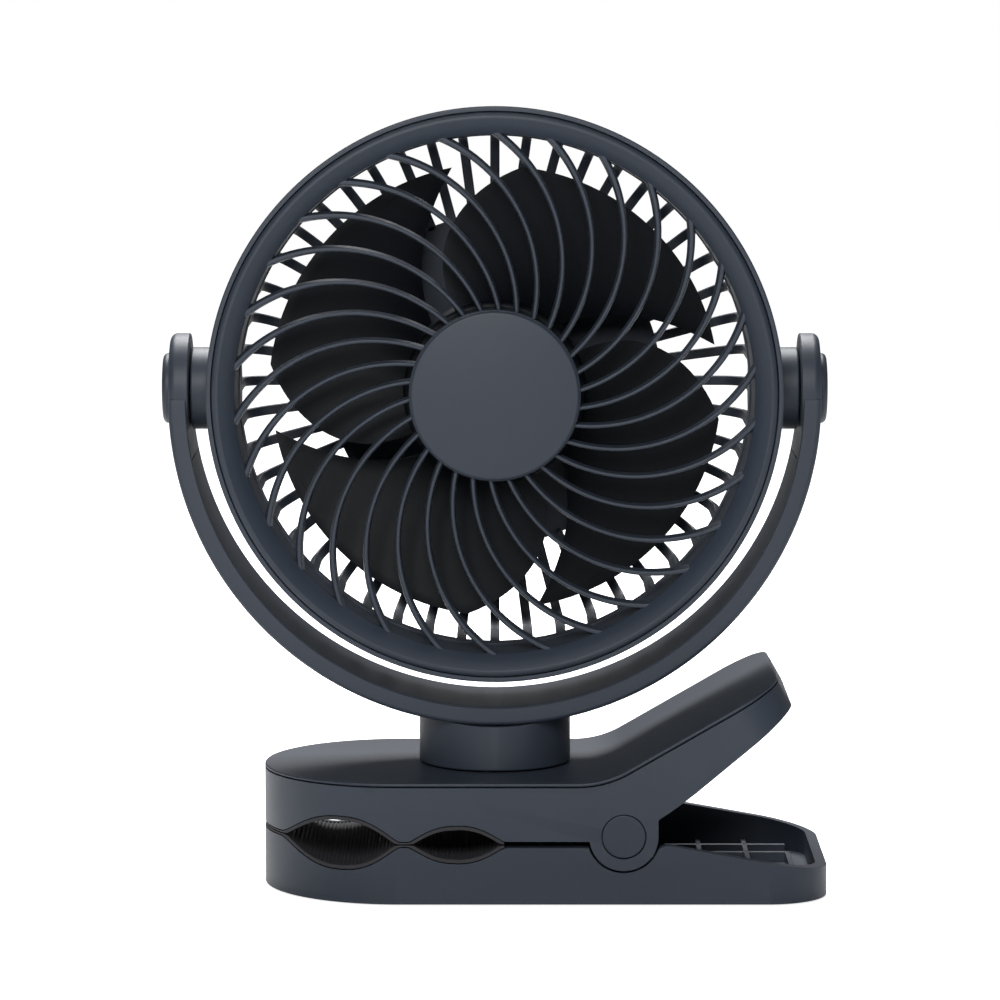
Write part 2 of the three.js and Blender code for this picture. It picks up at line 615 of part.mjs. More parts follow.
/** A point of the lever's underside, a distance to the right of the lug. */
function leverUnderside(right) {
  const x = HINGE_X + LUG_RADIUS + right;
  const [tipX, tipZ] = onLever(LEVER_LENGTH, LEVER_TIP_THICKNESS);
  const share = (x - kneeX) / (tipX - kneeX);
  return [x, kneeZ + (tipZ - kneeZ) * share];
}
const [kneeRight, kneeUp] = LEVER_ROOT.at(-1);
const kneeX = HINGE_X + LUG_RADIUS + kneeRight;
const kneeZ = LUG_CORNER_Z + kneeUp;

// ---- Upper jaw -----------------------------------------------------------------------------------

const slotRoof = SEAM_Z + SLOT_HALF_GAP;
const lugRightX = HINGE_X + LUG_RADIUS;

/** The upper jaw from the front: wavy mouth, lug, lever and top. */
function upperOutline() {
  return [
    ...waveEdge(1, 0, hingeBayX - 0.5),
    ...arc(HINGE_X, HINGE_Z, LUG_RADIUS, seamAngle(LUG_RADIUS, slotRoof), 0),
    ...LEVER_ROOT.map(([right, up]) => [lugRightX + right, LUG_CORNER_Z + up]),
    onLever(LEVER_LENGTH, LEVER_TIP_THICKNESS), ...topLine(0, 0),
  ];
}

/** The room inside the upper jaw, open downwards between the lugs. */
function upperRoom() {
  const openLeft = hingeBayX - 1;
  const openRight = lugRightX + 1.5;
  const lift = SHELL_WALL * 1.25;
  const points = [
    ...waveEdge(1, SHELL_WALL, openLeft), [openLeft, 0], [openRight, 0], [openRight, LUG_CORNER_Z + 1 + lift],
    [kneeX, kneeZ + lift], onLever(LEVER_LENGTH + CUT, LEVER_TIP_THICKNESS - SHELL_WALL),
    ...topLine(COVER_THICKNESS, CUT),
  ];
  return frontPrism(points, -CLIP_DEPTH, CLIP_DEPTH);
}

/** The layer under the upper jaw's top line, from a height above it to a depth below. */
function topLayer(above, below) {
  const points = [...topLine(-above, CUT).reverse(), ...topLine(below, CUT)];
  return frontPrism(points, -CLIP_DEPTH, CLIP_DEPTH);
}

/** One of the two lugs, from its outer face inwards. */
function lug(side) {
  const top = CLIP_TOP - COVER_THICKNESS - 1;
  const points = [
    [HINGE_X - LUG_RADIUS, top], ...arc(HINGE_X, HINGE_Z, LUG_RADIUS, 180, 360), [lugRightX, top],
  ];
  const inner = side * (halfDepth - LUG_WIDTH);
  const outer = side * (halfDepth - SKIN);
  return frontPrism(points, Math.min(inner, outer), Math.max(inner, outer));
}

const coverInset = COVER_RIM + SEAT_GAP;
const rearWallInner = halfDepth - SHELL_WALL;
const boardTop = slotRoof + SHELL_WALL + SEAT_GAP + BOARD_THICKNESS;
const portZ = boardTop + SEAT_GAP + PORT_HEIGHT / 2;

/** A rounded box for the charging port, its mouth at the rear. */
function portBody(grow, front, rear) {
  const half = PORT_WIDTH / 2 - PORT_HEIGHT / 2;
  const radius = PORT_HEIGHT / 2 + grow;
  const rightEnd = arc(PORT_X + half, portZ, radius, -90, 90);
  const leftEnd = arc(PORT_X - half, portZ, radius, 90, 270);
  return frontPrism([...rightEnd, ...leftEnd], front, rear);
}

function makeUpperShell() {
  const lugs = join(lug(-1), lug(1)).intersect(upperPlan(0));
  const outer = frontPrism(upperOutline(), -CLIP_DEPTH, CLIP_DEPTH).intersect(upperPlan(0));
  const room = upperRoom().intersect(upperPlan(SHELL_WALL));
  const plugPocket = topLayer(CUT, COVER_THICKNESS + SEAT_GAP).intersect(upperPlan(COVER_RIM));
  const pocket = join(plugPocket, topLayer(CUT, COVER_EDGE + SEAT_GAP));
  const bore = rod(PIN_RADIUS + PIN_CLEARANCE, -halfDepth, halfDepth, AXIS_Y);
  const capDepth = HINGE_CAP_THICKNESS + SEAT_GAP;
  const capSeats = [-1, 1].map((side) =>
    rod(HINGE_CAP_RADIUS + 0.25, side > 0 ? halfDepth - capDepth : -halfDepth - CUT,
      side > 0 ? halfDepth + CUT : capDepth - halfDepth, AXIS_Y));
  const hingeCuts = join(bore, ...capSeats).translate([HINGE_X, 0, HINGE_Z]);
  const rear = [rearWallInner - CUT, halfDepth + CUT];
  const buttonHole = rod(BUTTON_RADIUS + RUN_GAP, ...rear, AXIS_Y).translate([BUTTON_X, 0, BUTTON_Z]);
  const lightHole = rod(LIGHT_RADIUS + SEAT_GAP, ...rear, AXIS_Y).translate([LIGHT_X, 0, BUTTON_Z]);
  const hollow = cut(outer, room, pocket);
  return cut(join(hollow, cut(lugs, pocket)), hingeCuts, buttonHole, lightHole, portBody(SEAT_GAP, ...rear));
}

/** The bent lid over the upper jaw, with the collar that the neck turns on. */
function makeTopCover() {
  const plug = topLayer(0, COVER_THICKNESS).intersect(upperPlan(coverInset));
  const lid = join(plug, topLayer(0, COVER_EDGE).intersect(upperPlan(0)));
  const bore = SPINDLE_RADIUS + RUN_GAP;
  const collar = ring(bore, bore + COLLAR_WALL, CLIP_TOP - COVER_THICKNESS, CLIP_TOP + COLLAR_HEIGHT, AXIS_Z);
  return cut(join(lid, collar), rod(bore, 0, CLIP_TOP + 2 * COLLAR_HEIGHT, AXIS_Z));
}

function makeHingeCap(side) {
  const face = halfDepth - 0.1;
  const cap = revolve(
    [[0, 0], [HINGE_CAP_RADIUS, 0], [HINGE_CAP_RADIUS, HINGE_CAP_THICKNESS - 0.2],
      [HINGE_CAP_RADIUS - 0.2, HINGE_CAP_THICKNESS], [0, HINGE_CAP_THICKNESS]],
    new THREE.Vector3(0, side, 0),
  );
  return cap.translate([HINGE_X, side * (face - HINGE_CAP_THICKNESS), HINGE_Z]);
}

/** The charging port: a shell open at the rear, with its tongue inside. */
function makePort() {
  const wall = 0.35;
  const rear = halfDepth - 0.4;
  const front = rear - PORT_LENGTH;
  const shell = portBody(0, front, rear).subtract(portBody(-wall, front + 1, rear + CUT));
  const halfWidth = PORT_WIDTH / 2 - PORT_HEIGHT / 2 - 0.2;
  const tongueLow = [PORT_X - halfWidth, front + 0.5, portZ - wall];
  const tongueHigh = [PORT_X + halfWidth, rear - 1, portZ + wall];
  return shell.add(block(tongueLow, tongueHigh));
}

const buttonRear = halfDepth - 0.1;
const switchRear = rearWallInner - 1.6 - BUTTON_TRAVEL - RUN_GAP;

function makeButton() {
  return revolve(
    [[0, rearWallInner - 1.6], [BUTTON_RADIUS + 1.2, rearWallInner - 1.6],
      [BUTTON_RADIUS + 1.2, rearWallInner - RUN_GAP], [BUTTON_RADIUS, rearWallInner - RUN_GAP],
      [BUTTON_RADIUS, buttonRear - 0.3], [BUTTON_RADIUS - 0.3, buttonRear], [0, buttonRear - 0.25]],
    AXIS_Y,
  ).translate([BUTTON_X, 0, BUTTON_Z]);
}

/** The small switch behind the button, standing on the control board. */
function makeSwitch() {
  const low = boardTop + SEAT_GAP;
  return block([BUTTON_X - 3, switchRear - 3.4, low], [BUTTON_X + 3, switchRear, BUTTON_Z + 2]);
}

/** The flat battery pouch inside the lever, lying along its slope. */
function makeBattery() {
  const geometry = new THREE.BoxGeometry(BATTERY_LENGTH, BATTERY_WIDTH, BATTERY_THICKNESS);
  const [x, z] = onLever(
    BATTERY_START + BATTERY_LENGTH / 2,
    COVER_THICKNESS + SEAT_GAP + BATTERY_THICKNESS / 2,
  );
  return solid(geometry.rotateY(-rad(LEVER_ANGLE)).translate(x, 0, z));
}

function makeBoard() {
  const low = [BOARD_LOW_X, SHELL_WALL + 4 - halfDepth, boardTop - BOARD_THICKNESS];
  return block(low, [BOARD_HIGH_X, rearWallInner - SEAT_GAP, boardTop]);
}

function makeLight() {
  const rear = halfDepth - 0.2;
  return rod(LIGHT_RADIUS, rearWallInner - 1.5, rear, AXIS_Y).translate([LIGHT_X, 0, BUTTON_Z]);
}

// ---- Neck ----------------------------------------------------------------------------------------

const neckFoot = CLIP_TOP + RUN_GAP;
const collarTop = CLIP_TOP + COLLAR_HEIGHT;
const webLow = collarTop + RUN_GAP + SPINDLE_FLANGE_THICKNESS + SEAT_GAP;
const washerTop = CLIP_TOP - COVER_THICKNESS - RUN_GAP;
const nutTop = washerTop - WASHER_THICKNESS - SEAT_GAP;
const nutLow = nutTop - NUT_THICKNESS;

/** The round neck: open below, saddle-shaped on top to take the yoke. */
function makeNeck() {
  const edge = 0.6;
  const inner = NECK_RADIUS - NECK_WALL;
  const blankTop = YOKE_LOW + NECK_RADIUS; // the saddle cuts it down
  const column = revolve(
    [
      [inner, neckFoot], [NECK_RADIUS - edge, neckFoot], [NECK_RADIUS, neckFoot + edge],
      [NECK_RADIUS, blankTop], [SPINDLE_BORE, blankTop], [SPINDLE_BORE, webLow], [inner, webLow],
    ],
    AXIS_Z,
  );
  const saddle = rod(YOKE_OUTER + SEAT_GAP, -NECK_RADIUS - CUT, NECK_RADIUS + CUT, AXIS_Y);
  return column.subtract(saddle.translate([0, 0, PIVOT_Z - YOKE_DROP]));
}

/** The hollow spindle that holds the neck down on the clip, its flange inside the neck. */
function makeSpindle() {
  const low = nutLow - 0.6; // its thread ends just below the nut
  const flangeTop = webLow - SEAT_GAP;
  const flangeLow = flangeTop - SPINDLE_FLANGE_THICKNESS;
  return revolve(
    [
      [SPINDLE_BORE, low], [SPINDLE_RADIUS, low], [SPINDLE_RADIUS, flangeLow],
      [SPINDLE_FLANGE_RADIUS, flangeLow], [SPINDLE_FLANGE_RADIUS, flangeTop], [SPINDLE_BORE, flangeTop],
    ],
    AXIS_Z,
  );
}

const makeSwivelWasher = () =>
  ring(SPINDLE_RADIUS + SEAT_GAP, NUT_RADIUS, washerTop - WASHER_THICKNESS, washerTop, AXIS_Z);
const makeSwivelNut = () => {
  const bore = rod(SPINDLE_RADIUS + SEAT_GAP, nutLow - CUT, nutTop + CUT, AXIS_Z);
  return cut(rod(NUT_RADIUS, nutLow, nutTop, AXIS_Z, 6), bore);
};

// ---- Yoke, about the middle of the tilt axis -----------------------------------------------------

const earFace = YOKE_INNER - EAR_PAD;

/** Half the yoke's front-to-rear width at an angle below the tilt axis. */
const yokeHalfWidth = (angle) => EAR_ROUND + (YOKE_WIDTH / 2 - EAR_ROUND) * Math.sin(angle);

/** A closed skin through rings of points, each ring with as many points, with flat ends. */
function loft(rings) {
  const count = rings[0].length;
  const vertices = rings.flat();
  const faces = [];
  for (const i of times(rings.length - 1)) {
    for (const j of times(count)) {
      const [a, b] = [i * count + j, i * count + ((j + 1) % count)];
      faces.push([a, b, a + count], [b, b + count, a + count]);
    }
  }
  for (const [start, turn] of [[0, 1], [(rings.length - 1) * count, -1]]) {
    for (const j of times(count - 2)) {
      const [a, b, c] = [start, start + j + 2, start + j + 1];
      faces.push(turn > 0 ? [a, b, c] : [a, c, b]);
    }
  }
  const geometry = new THREE.BufferGeometry().setFromPoints(vertices);
  geometry.setIndex(faces.flat());
  return solid(geometry);
}

/** A half-round band below the tilt axis: section(halfWidth) gives [radius, y] pairs. */
function yokeBand(section, startAngle, steps) {
  const rings = times(steps + 1).map((i) => {
    const angle = startAngle + ((Math.PI - 2 * startAngle) * i) / steps;
    return section(yokeHalfWidth(angle)).map(([radius, y]) =>
      new THREE.Vector3(-radius * Math.cos(angle), y, -radius * Math.sin(angle) - YOKE_DROP));
  });
  return loft(rings);
}

/** The yoke's outer frame: a channel with two round ears. */
function makeYokeFrame() {
  const c = YOKE_CHAMFER;
  const band = yokeBand(
    (half) => [[YOKE_INNER, -half], [YOKE_OUTER - c, -half], [YOKE_OUTER, c - half],
      [YOKE_OUTER, half - c], [YOKE_OUTER - c, half], [YOKE_INNER, half]],
    0, YOKE_STEPS,
  );
  const ears = [-1, 1].map((side) => {
    const profile = [
      [0, earFace], [EAR_ROUND, earFace],
      ...arc(EAR_ROUND - EAR_EDGE, YOKE_OUTER - EAR_EDGE, EAR_EDGE, 0, 90, 2), [0, YOKE_OUTER],
    ];
    return revolve(profile, new THREE.Vector3(side, 0, 0));
  });
  const channel = yokeBand(
    (half) => {
      const w = half - YOKE_RIM;
      const [near, far] = [YOKE_INNER - CUT, YOKE_OUTER - YOKE_BACK];
      return [[near, -w], [far, -w], [far, w], [near, w]];
    },
    rad(LINER_END_ANGLE), YOKE_STEPS,
  );
  const cableHole = rod(SPINDLE_BORE, -YOKE_DROP - YOKE_OUTER - CUT, -YOKE_INNER, AXIS_Z);
  const pivotHoles = rod(PIVOT_HOLE, -YOKE_OUTER - CUT, YOKE_OUTER + CUT, AXIS_X);
  return cut(join(band, ...ears), channel, cableHole, pivotHoles);
}

/** The inner cover that closes the yoke's channel, flush with its rims. */
function makeYokeLiner() {
  return yokeBand(
    (half) => {
      const w = half - YOKE_RIM - SEAT_GAP;
      const [near, far] = [YOKE_INNER, YOKE_INNER + LINER_THICKNESS];
      return [[near, -w], [far, -w], [far, w], [near, w]];
    },
    rad(LINER_END_ANGLE) + SEAT_GAP / YOKE_INNER, YOKE_STEPS,
  );
}

/** The lead inside the yoke's channel, from above the neck to the left ear. */
function makeYokeCable() {
  const radius = (YOKE_INNER + LINER_THICKNESS + YOKE_OUTER - YOKE_BACK) / 2;
  const [from, to] = [rad(LINER_END_ANGLE + 4), rad(88)];
  const points = times(9).map((i) => {
    const angle = from + ((to - from) * i) / 8;
    return new THREE.Vector3(-radius * Math.cos(angle), 0, -radius * Math.sin(angle) - YOKE_DROP);
  });
  return wireAlong(new THREE.CatmullRomCurve3(points), CABLE_RADIUS, 16);
}

/** The round cap over a pivot, outside the ear, with a plug that fits the ear's hole. */
function makePivotCap(side) {
  const out = YOKE_OUTER + PIVOT_CAP_SEAT;
  const face = out + PIVOT_CAP_HEIGHT;
  const plug = PIVOT_HOLE - SEAT_GAP;
  return revolve(
    [
      [0, out - PIVOT_PLUG], [plug, out - PIVOT_PLUG], [plug, out], [PIVOT_CAP_RADIUS, out],
      ...arc(PIVOT_CAP_RADIUS - PIVOT_CAP_EDGE, face - PIVOT_CAP_EDGE, PIVOT_CAP_EDGE, 0, 90, 2), [0, face],
    ],
    new THREE.Vector3(side, 0, 0),
  );
}

const pivotWasherInner = earFace - SEAT_GAP - WASHER_THICKNESS;
const makePivotWasher = (side) =>
  ring(PIVOT_HOLE, PIVOT_WASHER_RADIUS, pivotWasherInner, earFace - SEAT_GAP, new THREE.Vector3(side, 0, 0));

// ---- Head, about the middle of the tilt axis -----------------------------------------------------

const bezelOuter = HEAD_RADIUS - RIM_WALL - SEAT_GAP;
const throatY = BEZEL_SLOPE_DEPTH - HEAD_FRONT;
const hubFront = throatY - 1.2; // front of the grille's hub ring
const stepY = RIM_DEPTH - HEAD_FRONT; // front of the rear shell's step
const bossEnd = earFace - RUN_GAP;

/** One curved rib of the grille in front view, from the hub ring to the bezel's throat. */
function ribOutline() {
  const start = GRILLE_HUB_RADIUS - GRILLE_HUB_WALL / 2;
  const end = BEZEL_THROAT + BEZEL_WALL / 2;
  const centre = rad(RIB_CENTRE_ANGLE);
  const [cx, cz] = [RIB_CENTRE_DISTANCE * Math.cos(centre), RIB_CENTRE_DISTANCE * Math.sin(centre)];
  // The angle on the rib's own circle at which it lies a given distance from the fan's axis.
  const angleAt = (radius) => {
    const squares = RIB_ARC_RADIUS ** 2 + RIB_CENTRE_DISTANCE ** 2 - radius ** 2;
    return centre + Math.PI + Math.acos(squares / (2 * RIB_ARC_RADIUS * RIB_CENTRE_DISTANCE));
  };
  const [a0, a1] = [angleAt(start), angleAt(end)].map(THREE.MathUtils.radToDeg);
  const half = RIB_THICKNESS / 2;
  return [
    ...arc(cx, cz, RIB_ARC_RADIUS - half, a0, a1, RIB_STEPS),
    ...arc(cx, cz, RIB_ARC_RADIUS + half, a1, a0, RIB_STEPS),
  ];
}

/** The front grille: bezel ring, thirty curved ribs and the hub ring, one moulding. */
function makeFrontGrille() {
  const back = stepY - 0.7; // rear edge of the throat, just clear of the rear shell's step
  const skirt = back - BEZEL_SKIRT;
  const w = BEZEL_WALL;
  const tail = BEZEL_THROAT - BEZEL_TAPER;
  const bezel = revolve(
    [
      [bezelOuter, skirt], [bezelOuter, BEZEL_ROLL - HEAD_FRONT], [BEZEL_CREST, -HEAD_FRONT],
      [BEZEL_CREST - BEZEL_LAND, 0.25 - HEAD_FRONT], [BEZEL_THROAT, throatY], [tail, back], [tail + w, back],
      [BEZEL_THROAT + w, throatY + 1.6], [bezelOuter - w, w - HEAD_FRONT], [bezelOuter - w, skirt],
    ],
    AXIS_Y,
  );
  const hubInner = GRILLE_HUB_RADIUS - GRILLE_HUB_WALL;
  const hub = ring(hubInner, GRILLE_HUB_RADIUS, hubFront, throatY + RIB_DEPTH, AXIS_Y);
  const hubPlate = rod(GRILLE_HUB_RADIUS - 1, throatY + RIB_DEPTH - 1.5, throatY + RIB_DEPTH, AXIS_Y);
  const rib = frontPrism(ribOutline(), throatY, throatY + RIB_DEPTH);
  const ribs = times(RIB_COUNT).map((i) => {
    const angle = RIB_START_ANGLE + (i * 360) / RIB_COUNT;
    return rib.rotate([0, -angle, 0]);
  });
  const posts = atRearScrews(rod(SCREW_SHANK_RADIUS + 0.8, w - HEAD_FRONT, stepY - SEAT_GAP, AXIS_Y));
  return cut(join(bezel, hub, hubPlate, ...ribs, ...posts), ...rearScrewBores());
}

/** A point on the circle of the rear screws, at the depth of the tilt axis. */
const onScrewCircle = (angle) =>
  [REAR_SCREW_CIRCLE * Math.cos(rad(angle)), 0, REAR_SCREW_CIRCLE * Math.sin(rad(angle))];

/** Copies of a solid at the rear screws. */
const atRearScrews = (made) => REAR_SCREW_ANGLES.map((angle) => made.translate(onScrewCircle(angle)));

/** The rear screws' bores, from behind the rear shell's step into the grille's posts. */
function rearScrewBores() {
  const seatY = stepY + BASKET_WALL;
  return atRearScrews(rod(SCREW_SHANK_RADIUS + SEAT_GAP, seatY - REAR_SCREW_LENGTH - CUT, seatY + 2, AXIS_Y));
}

/** The plain disc in the middle of the grille. */
function makeHubDisc() {
  const rear = throatY + RIB_DEPTH - 1.5 - SEAT_GAP;
  const front = hubFront - DISC_THICKNESS;
  const plug = GRILLE_HUB_RADIUS - GRILLE_HUB_WALL - SEAT_GAP;
  const seat = hubFront - SEAT_GAP;
  return revolve(
    [[0, front], [DISC_RADIUS - DISC_BEVEL, front + 0.15], [DISC_RADIUS, front + 0.6], [DISC_RADIUS, seat],
      [plug, seat], [plug, rear], [0, rear]],
    AXIS_Y,
  );
}

/** The rear shell: rim, step, slotted basket, motor cup and the two pivot bosses. */
function makeRearShell() {
  const inner = BASKET_RADIUS - BASKET_WALL;
  const turnR = BASKET_RADIUS - BASKET_ROUND;
  const turnY = HEAD_REAR - BASKET_ROUND;
  const basket = revolve(
    [
      [HEAD_RADIUS - RIM_WALL, 1 - HEAD_FRONT], [HEAD_RADIUS, 1 - HEAD_FRONT], [HEAD_REAR_RADIUS, stepY + 1],
      [HEAD_REAR_RADIUS - 1, stepY + BASKET_WALL], [BASKET_RADIUS, stepY + BASKET_WALL],
      ...arc(turnR, turnY, BASKET_ROUND, 0, 90, 2),
      [0, HEAD_REAR], [0, HEAD_REAR - BASKET_WALL],
      ...arc(turnR, turnY, BASKET_ROUND - BASKET_WALL, 90, 0, 1),
      [inner, stepY], [HEAD_RADIUS - RIM_WALL, stepY],
    ],
    AXIS_Y, SLOT_COUNT,
  );
  const slotLow = stepY + SLOT_START;
  // A slot keeps the bars' width constant, so it is a wedge less half a bar on each side.
  const half = Math.PI / SLOT_COUNT;
  const edge = (radius) => radius * Math.tan(half) - BAR_WIDTH / 2 / Math.cos(half);
  const [near, far] = [REAR_PLATE_RADIUS, BASKET_RADIUS + CUT];
  const wedge = [[near, -edge(near)], [far, -edge(far)], [far, edge(far)], [near, edge(near)]];
  const slot = frontPrism(wedge, slotLow, HEAD_REAR + CUT);
  const slots = times(SLOT_COUNT).map((i) => slot.rotate([0, (360 * (i + 0.5)) / SLOT_COUNT, 0]));
  const cupInner = MOTOR_CUP_RADIUS - BASKET_WALL;
  const cup = ring(cupInner, MOTOR_CUP_RADIUS, motorBaseRear, HEAD_REAR - BASKET_WALL / 2, AXIS_Y);
  const bezelRoom = rod(HEAD_RADIUS - RIM_WALL, -HEAD_FRONT, stepY, AXIS_Y, SLOT_COUNT);
  const sides = [-1, 1].map((side) => new THREE.Vector3(side, 0, 0));
  const bosses = sides.map((axis) => rod(BOSS_RADIUS, inner + 0.4, bossEnd, axis).subtract(bezelRoom));
  const pivotBores = sides.map((axis) =>
    rod(SCREW_SHANK_RADIUS + SEAT_GAP, BASKET_RADIUS, bossEnd + CUT, axis));
  const washerSeats = sides.map((axis) =>
    rod(PIVOT_WASHER_RADIUS + RUN_GAP, pivotWasherInner - RUN_GAP, bossEnd + CUT, axis));
  return cut(join(cut(basket, ...slots), cup, ...bosses), ...pivotBores, ...washerSeats, ...rearScrewBores());
}

/** A pivot screw, its head just outside the friction washer. */
function makePivotScrew(side) {
  const tip = BASKET_RADIUS + 1;
  const neck = YOKE_INNER - SEAT_GAP + 0.2;
  const end = YOKE_OUTER - PIVOT_PLUG - RUN_GAP;
  const headRadius = PIVOT_HOLE - RUN_GAP;
  return revolve(
    [
      [0, tip], [SCREW_SHANK_RADIUS, tip], [SCREW_SHANK_RADIUS, neck], [headRadius, neck],
      [headRadius, end], [0, end],
    ],
    new THREE.Vector3(side, 0, 0),
  );
}

// ---- Motor and impeller --------------------------------------------------------------------------

const hubRoof = HUB_FRONT + HUB_WALL;
const rotorFront = hubRoof + SEAT_GAP;
const rotorRear = HUB_REAR - 1;
const motorBaseFront = HUB_REAR + 1.2;
const motorBaseRear = motorBaseFront + MOTOR_BASE_THICKNESS + SEAT_GAP;
const statorFront = rotorFront + ROTOR_WALL + 1.4;
const tubeFront = statorFront + 0.4;

/** The motor's base plate with the tube that holds the bearings and carries the stator. */
function makeMotorBase() {
  const bore = BEARING_RADIUS + 0.15;
  return revolve(
    [
      [bore, tubeFront], [BEARING_TUBE_RADIUS, tubeFront], [BEARING_TUBE_RADIUS, motorBaseFront],
      [MOTOR_CUP_RADIUS, motorBaseFront], [MOTOR_CUP_RADIUS, motorBaseFront + MOTOR_BASE_THICKNESS],
      [bore, motorBaseFront + MOTOR_BASE_THICKNESS],
    ],
    AXIS_Y,
  );
}

/** The laminated stator: a ring with T-shaped arms. */
function makeStator() {
  const inner = BEARING_TUBE_RADIUS + SEAT_GAP;
  const core = ring(inner, inner + 1.6, statorFront, motorBaseFront - SEAT_GAP - 1, AXIS_Y);
  const arms = times(STATOR_ARMS).map((i) => {
    const rear = motorBaseFront - SEAT_GAP - 1;
    const arm = block([inner + 1, statorFront, -0.9], [STATOR_RADIUS, rear, 0.9]);
    const shoe = block([STATOR_RADIUS - 1.2, statorFront, -2.9], [STATOR_RADIUS, rear, 2.9]);
    return arm.add(shoe).rotate([0, (360 * i) / STATOR_ARMS, 0]);
  });
  const round = rod(STATOR_RADIUS, -HEAD_FRONT, HEAD_REAR, AXIS_Y);
  return join(core, ...arms).intersect(round);
}

const makeRotorCup = () => revolve(
  [
    [SHAFT_RADIUS + PIN_CLEARANCE, rotorFront], [ROTOR_RADIUS, rotorFront], [ROTOR_RADIUS, rotorRear],
    [ROTOR_RADIUS - ROTOR_WALL, rotorRear], [ROTOR_RADIUS - ROTOR_WALL, rotorFront + ROTOR_WALL],
    [SHAFT_RADIUS + PIN_CLEARANCE, rotorFront + ROTOR_WALL],
  ],
  AXIS_Y,
);

const makeMagnetRing = () => {
  const outer = ROTOR_RADIUS - ROTOR_WALL - PIN_CLEARANCE;
  const front = rotorFront + ROTOR_WALL + SEAT_GAP;
  return ring(outer - MAGNET_THICKNESS, outer, front, rotorRear - 0.5, AXIS_Y);
};
const makeBearing = (front) =>
  ring(SHAFT_RADIUS + PIN_CLEARANCE, BEARING_RADIUS, front, front + BEARING_LENGTH, AXIS_Y);
const makeShaft = () =>
  rod(SHAFT_RADIUS, hubRoof + SEAT_GAP, motorBaseFront + MOTOR_BASE_THICKNESS + 1, AXIS_Y);

/** Where a blade's skin lies: share 0..1 outwards, share 0..1 from its pointed edge to its round one. */
function bladePoint(outwards, across) {
  const root = HUB_RADIUS - HUB_WALL / 2;
  const radius = root + (BLADE_TIP_RADIUS - root) * outwards;
  const first = BLADE_TIP_ANGLE + BLADE_ROOT_LAG * (1 - outwards) ** 1.05;
  const last = BLADE_TIP_ANGLE + BLADE_ROOT_LAG + BLADE_SPAN_ROOT
    - (BLADE_ROOT_LAG + BLADE_SPAN_ROOT - BLADE_SPAN_TIP) * outwards ** 2.1;
  const angle = rad(first + (last - first) * across);
  const depth = BLADE_PITCH_DEPTH * (1 - 0.15 * outwards);
  const y = HUB_REAR - 3 - depth * across - 1.6 * Math.sin(Math.PI * across) * (1 - outwards / 2);
  return [radius, angle, y];
}

/** One blade: a thin, twisted sheet between its curved edges. */
function makeBlade(start) {
  const [rows, columns] = [5, 6];
  const rings = times(rows + 1).map((i) => {
    const at = (j, side) => {
      const [radius, angle, y] = bladePoint(i / rows, j / columns);
      const skinY = y + (side * BLADE_THICKNESS) / 2;
      return new THREE.Vector3(radius * Math.cos(angle + start), skinY, radius * Math.sin(angle + start));
    };
    const front = times(columns + 1).map((j) => at(j, -1));
    const rear = times(columns + 1).map((j) => at(columns - j, 1));
    return [...front, ...rear];
  });
  return loft(rings);
}

/** The impeller: a cup-shaped hub that fits over the rotor, and its blades. */
function makeImpeller() {
  const cup = revolve(
    [
      [0, HUB_FRONT], [HUB_RADIUS - 1.5, HUB_FRONT], [HUB_RADIUS, HUB_FRONT + 1.5], [HUB_RADIUS, HUB_REAR],
      [HUB_RADIUS - HUB_WALL, HUB_REAR], [HUB_RADIUS - HUB_WALL, hubRoof], [0, hubRoof],
    ],
    AXIS_Y,
  );
  const grip = ring(ROTOR_RADIUS + SEAT_GAP, ROTOR_RADIUS + SEAT_GAP + 1.4, hubRoof - 0.5, rotorRear, AXIS_Y);
  const blades = times(BLADE_COUNT).map((i) => makeBlade((i * 2 * Math.PI) / BLADE_COUNT));
  return join(cup, grip, ...blades);
}

// ---- Assembly ------------------------------------------------------------------------------------

const fan = new THREE.Group();
const sideNames = [["left", -1], ["right", 1]];

const lowerJaw = new THREE.Group();
lowerJaw.add(piece("lower_jaw_shell", makeLowerShell(), FINISH.shell));
lowerJaw.add(piece("lower_jaw_pad", makePad(-1), FINISH.rubber));
lowerJaw.add(piece("base_cover", makeBaseCover(), FINISH.shell));
lowerJaw.add(piece("hinge_pin", makeHingePin(), FINISH.steel));
lowerJaw.add(piece("clip_spring", makeClipSpring(), FINISH.steel));
FOOT_PLACES.forEach(([x, y], i) => {
  const foot = piece(`foot_${i + 1}`, makeFoot(), FINISH.rubber);
  foot.position.set(x, y, 0);
  lowerJaw.add(foot);
});
BASE_SCREW_PLACES.forEach(([x, y], i) => {
  const fastener = piece(`base_screw_${i + 1}`, screw(BASE_SCREW_LENGTH, AXIS_Z), FINISH.steel);
  fastener.position.set(x, y, baseScrewHeadTop);
  lowerJaw.add(fastener);
});

const upperJaw = new THREE.Group();
upperJaw.add(piece("upper_jaw_shell", makeUpperShell(), FINISH.shell));
upperJaw.add(piece("top_cover", makeTopCover(), FINISH.shell));
upperJaw.add(piece("upper_jaw_pad", makePad(1), FINISH.rubber));
upperJaw.add(piece("hinge_cap_front", makeHingeCap(-1), FINISH.shell));
upperJaw.add(piece("hinge_cap_rear", makeHingeCap(1), FINISH.shell));
upperJaw.add(piece("battery", makeBattery(), FINISH.foil));
upperJaw.add(piece("control_board", makeBoard(), FINISH.board));
upperJaw.add(piece("charging_port", makePort(), FINISH.steel));
upperJaw.add(piece("button_switch", makeSwitch(), FINISH.dark));
upperJaw.add(piece("indicator_light", makeLight(), FINISH.lens));
upperJaw.add(piece("power_button", makeButton(), FINISH.dark));

